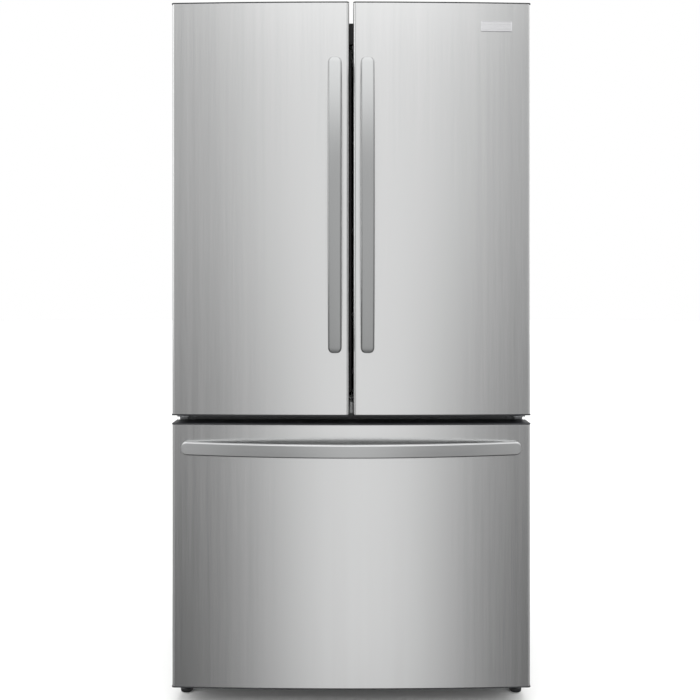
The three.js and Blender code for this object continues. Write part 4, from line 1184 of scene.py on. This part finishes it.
low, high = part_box("condenser")
COIL_END = -0.135
coil_y = (low.y + high.y) / 2
finned_coil("condenser_coil", "condenser", (low.x, COIL_END), (low.y, high.y),
            (low.z, high.z), 3 * MM, (coil_y - 30 * MM, coil_y, coil_y + 30 * MM), 22 * MM)
FAN_PLACE = (-0.091, coil_y, 0.150)
MOTOR = ((0, -137), (22, -137), (24, -135), (24, -112), (22, -109), (8, -108), (8, -104.5),
         (0, -104))
motor = turned([(r * MM, x * MM) for r, x in MOTOR], (0, FAN_PLACE[1], FAN_PLACE[2]), "x", 36)
arm = slab((COIL_END - 5 * MM, COIL_END - 1 * MM), (coil_y - 14 * MM, coil_y + 14 * MM),
           (low.z, high.z), 5 * MM, along="x")
piece("condenser_fan_motor", joined(motor, arm), black_enamel, "cabinet",
      ("condenser",), edge=0.6 * MM)

low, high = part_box("evaporator")
row = (low.y + high.y) / 2
finned_coil("evaporator_coil", "evaporator", (low.x, high.x), (low.y, high.y),
            (low.z, high.z), 5 * MM, (row - 13 * MM, row + 13 * MM), 28 * MM)


# %% Fans
def fan(node, centre, axis, radius, hub, depth, blades, chord):
    """A moulded fan: a domed hub and twisted blades, the blades copied round the axis."""
    place = {"x": lambda a, t, r: (a, t, r), "y": lambda a, t, r: (t, a, r)}[axis]
    rings = []
    for i in range(13):
        t = i / 12
        r = hub * 0.9 + (radius - hub * 0.9) * t
        pitch = 0.66 - 0.3 * t
        width = chord * (0.55 + 0.45 * math.sin(math.pi * min(t + 0.15, 1.0) * 0.62))
        width *= math.sqrt(max(1 - max(t - 0.8, 0) ** 2 / 0.046, 0.1))
        ring = []
        for j in range(16):
            a = 2 * math.pi * j / 16
            u, w = width / 2 * math.cos(a), 0.8 * MM * math.sin(a)
            ring.append(place(u * math.sin(pitch) + w * math.cos(pitch),
                              u * math.cos(pitch) - w * math.sin(pitch), r))
        rings.append(ring)
    turn = 2 * math.pi / blades
    turns = {"x": (turn, 0, 0), "y": (0, turn, 0)}[axis]
    wings = in_ring(loft(rings), blades, turns, centre, black_bar)
    half = depth / 2
    dome = ((0, -half), (hub * 0.7, -half), (hub * 0.92, -half * 0.8), (hub, -half * 0.4),
            (hub, half), (hub - 1.5 * MM, half), (hub - 2 * MM, half * 0.3), (0, half * 0.3))
    piece(f"{node}_moulding", joined(wings, turned(dome, centre, axis, 36)), black_bar,
          BODY_OF[node], (node,))


low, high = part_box("condenser_fan")
fan("condenser_fan", FAN_PLACE, "x", (high.z - low.z) / 2 - 1 * MM, 18 * MM,
    high.x - low.x - 4 * MM, 5, 44 * MM)
low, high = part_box("evaporator_fan")
EVAPORATOR_FAN_PLACE = (0.0, 0.1805, 0.572)
fan("evaporator_fan", EVAPORATOR_FAN_PLACE, "y", (high.z - low.z) / 2 - 1 * MM, 18 * MM,
    high.y - low.y - 3 * MM, 5, 22 * MM)

# %% Tubes, drier and drain pan
runs = [
    ([(0.145, pot_y, 0.190), (0.130, pot_y, 0.222), (0.115, pot_y, 0.236), (-0.090, 0.350, 0.240),
      (-0.128, 0.342, 0.238), (-0.138, 0.339, 0.226), (-0.150, 0.339, 0.222)], False),
    ([(0.250, pot_y, 0.190), (0.262, pot_y, 0.222), (0.285, 0.360, 0.250), (0.300, 0.340, 0.268),
      (0.300, 0.320, 0.294)], False)]
capsule = ((0, 0), (3, 0), (4, 6), (9, 14), (9, 72), (4, 82), (2, 90), (0, 90))
drier = turned([(r * MM, z * MM) for r, z in capsule], (0.02, 0.412, 0.130), steps=24)
capillary = wires([([(0.02, 0.412, 0.216), (0.02, 0.412, 0.250), (0.035, 0.405, 0.270),
                     (0.080, 0.380, 0.280), (0.120, 0.340, 0.294)], False)], 1.4 * MM, copper, 8)
piece("refrigerant_tubes", joined(wires(runs, 3.2 * MM, copper, 12), drier, capillary), copper,
      "cabinet")
pan = walled((-0.070, 0.100), (0.308, 0.434), (0.0425, 0.085), 2 * MM, 14 * MM)
piece("drain_pan", pan, grey_cover, "cabinet")


# %% [markdown]
# ## Feet and rollers
# The front feet are screwed studs with a moulded pad, turned by hand to level the appliance. The
# rear rollers let it be moved. Both are turned shapes; the thread is drawn as rings.

# %% Feet
PAD = ((0, 0), (12.6, 0), (14.6, 0.8), (16, 2.6), (16, 9.4), (15.4, 10.6), (13.8, 11.4), (9, 12.6),
       (8.4, 15.5), (7.6, 16.2), (0, 16.2))
thread = [(0, 16)] + [p for i in range(14) for p in ((4.1, 16.2 + 1.5 * i), (4.9, 17 + 1.5 * i))]
thread += [(4.1, 38.2), (3.4, 38.8), (0, 38.8)]
ROLLER_Y, ROLLER_Z = 0.390, 0.020
WHEEL = ((5, -9), (8, -9), (9, -7.4), (15.5, -7.4), (16.5, -9), (18.6, -9), (20, -7.4), (20, 7.4),
         (18.6, 9), (16.5, 9), (15.5, 7.4), (9, 7.4), (8, 9), (5, 9))
AXLE = ((0, -15), (3.4, -15), (4, -14.4), (4, 14.4), (3.4, 15), (0, 15))
for side in ("left", "right"):
    low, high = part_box(f"{side}_front_foot")
    place = ((low.x + high.x) / 2, (low.y + high.y) / 2, 0)
    node = f"{side}_front_foot"
    piece(f"{node}_pad", turned([(r * MM, z * MM) for r, z in PAD], place, steps=48), black_bar,
          f"{side}_foot", (node,))
    piece(f"{node}_stud", turned([(r * MM, z * MM) for r, z in thread], place, steps=32), zinc,
          f"{side}_foot", (node,), smooth=50)
    node = f"{side}_rear_roller"
    low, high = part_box(node)
    place = ((low.x + high.x) / 2, ROLLER_Y, ROLLER_Z)
    wheel = turned([(r * MM, x * MM) for r, x in WHEEL], place, "x", 48)
    piece(f"{node}_wheel", wheel, black_bar, f"{side}_roller", (node,))
    axle = turned([(r * MM, x * MM) for r, x in AXLE], place, "x", 24)
    piece(f"{node}_axle", axle, zinc, f"{side}_roller", (node,))


# %% [markdown]
# ## Small fittings
# These are parts that the CAD leaves out: the black guide that turns the flipper bar as the left
# door shuts, the lamp and plain buttons on the control panel, and the screws of the back covers.

# %% Guide, lamp and buttons
case_low, case_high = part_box("outer_case")
guide_y = (case_low.y - 12 * MM, case_low.y - 0.6 * MM)
guide = slab((-9 * MM, 9 * MM), guide_y, (1.697, case_high.z + 6 * MM), 3 * MM, along="y")
piece("flipper_guide", guide, black_bar, "cabinet", edge=0.8 * MM)
rail_low, rail_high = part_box("centre_rail")
stop = slab((-3.6 * MM, 3.6 * MM), (rail_low.y - 70 * MM, rail_low.y - 0.6 * MM),
            (rail_high.z - 28 * MM, rail_high.z), 1.6 * MM, along="y")
piece("centre_stop", stop, light_stop, "cabinet", edge=0.6 * MM)
low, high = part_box("control_panel")
lens_box = slab((-85 * MM, 85 * MM), (low.y + 40 * MM, high.y - 30 * MM),
                (low.z - 5 * MM, low.z + 1 * MM), 12 * MM)
piece("lamp_lens", lens_box, lens, "cabinet", edge=1.5 * MM)
BUTTON = ((0, -2.2), (3.6, -2.2), (4.6, -1.6), (5, -0.6), (5, 0.6), (0, 0.6))
button = turned([(r * MM, y * MM) for r, y in BUTTON],
                (-45 * MM, low.y, (low.z + high.z) / 2), "y", 28)
piece("control_buttons", in_line(button, 4, (30 * MM, 0, 0), grey_cover), grey_cover, "cabinet")


# %% [markdown]
# The back panel and the machine cover are held by pan-head screws. One head is turned, with a
# dimple for the driver, and copied along each row.

# %% Screws
SCREW = ((0, -1), (3.9, -1), (3.9, 0.5), (3.2, 1.5), (1.9, 2), (1.5, 1.2), (0, 1.1))


def screws(name, start, count, step):
    head = turned([(r * MM, y * MM) for r, y in SCREW], start, "y", 20)
    piece(name, in_line(head, count, step, zinc), zinc, "cabinet", smooth=50)


cover_low, cover_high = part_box("machine_cover")
panel_low, panel_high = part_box("back_panel")
screws("cover_screws", (cover_low.x + 12 * MM, cover_high.y, cover_high.z - 8 * MM), 8,
       ((cover_high.x - cover_low.x - 24 * MM) / 7, 0, 0))
for side, x in (("left", panel_low.x + 14 * MM), ("right", panel_high.x - 14 * MM)):
    screws(f"{side}_panel_screws", (x, panel_high.y, panel_low.z + 0.08), 9, (0, 0, 0.16))
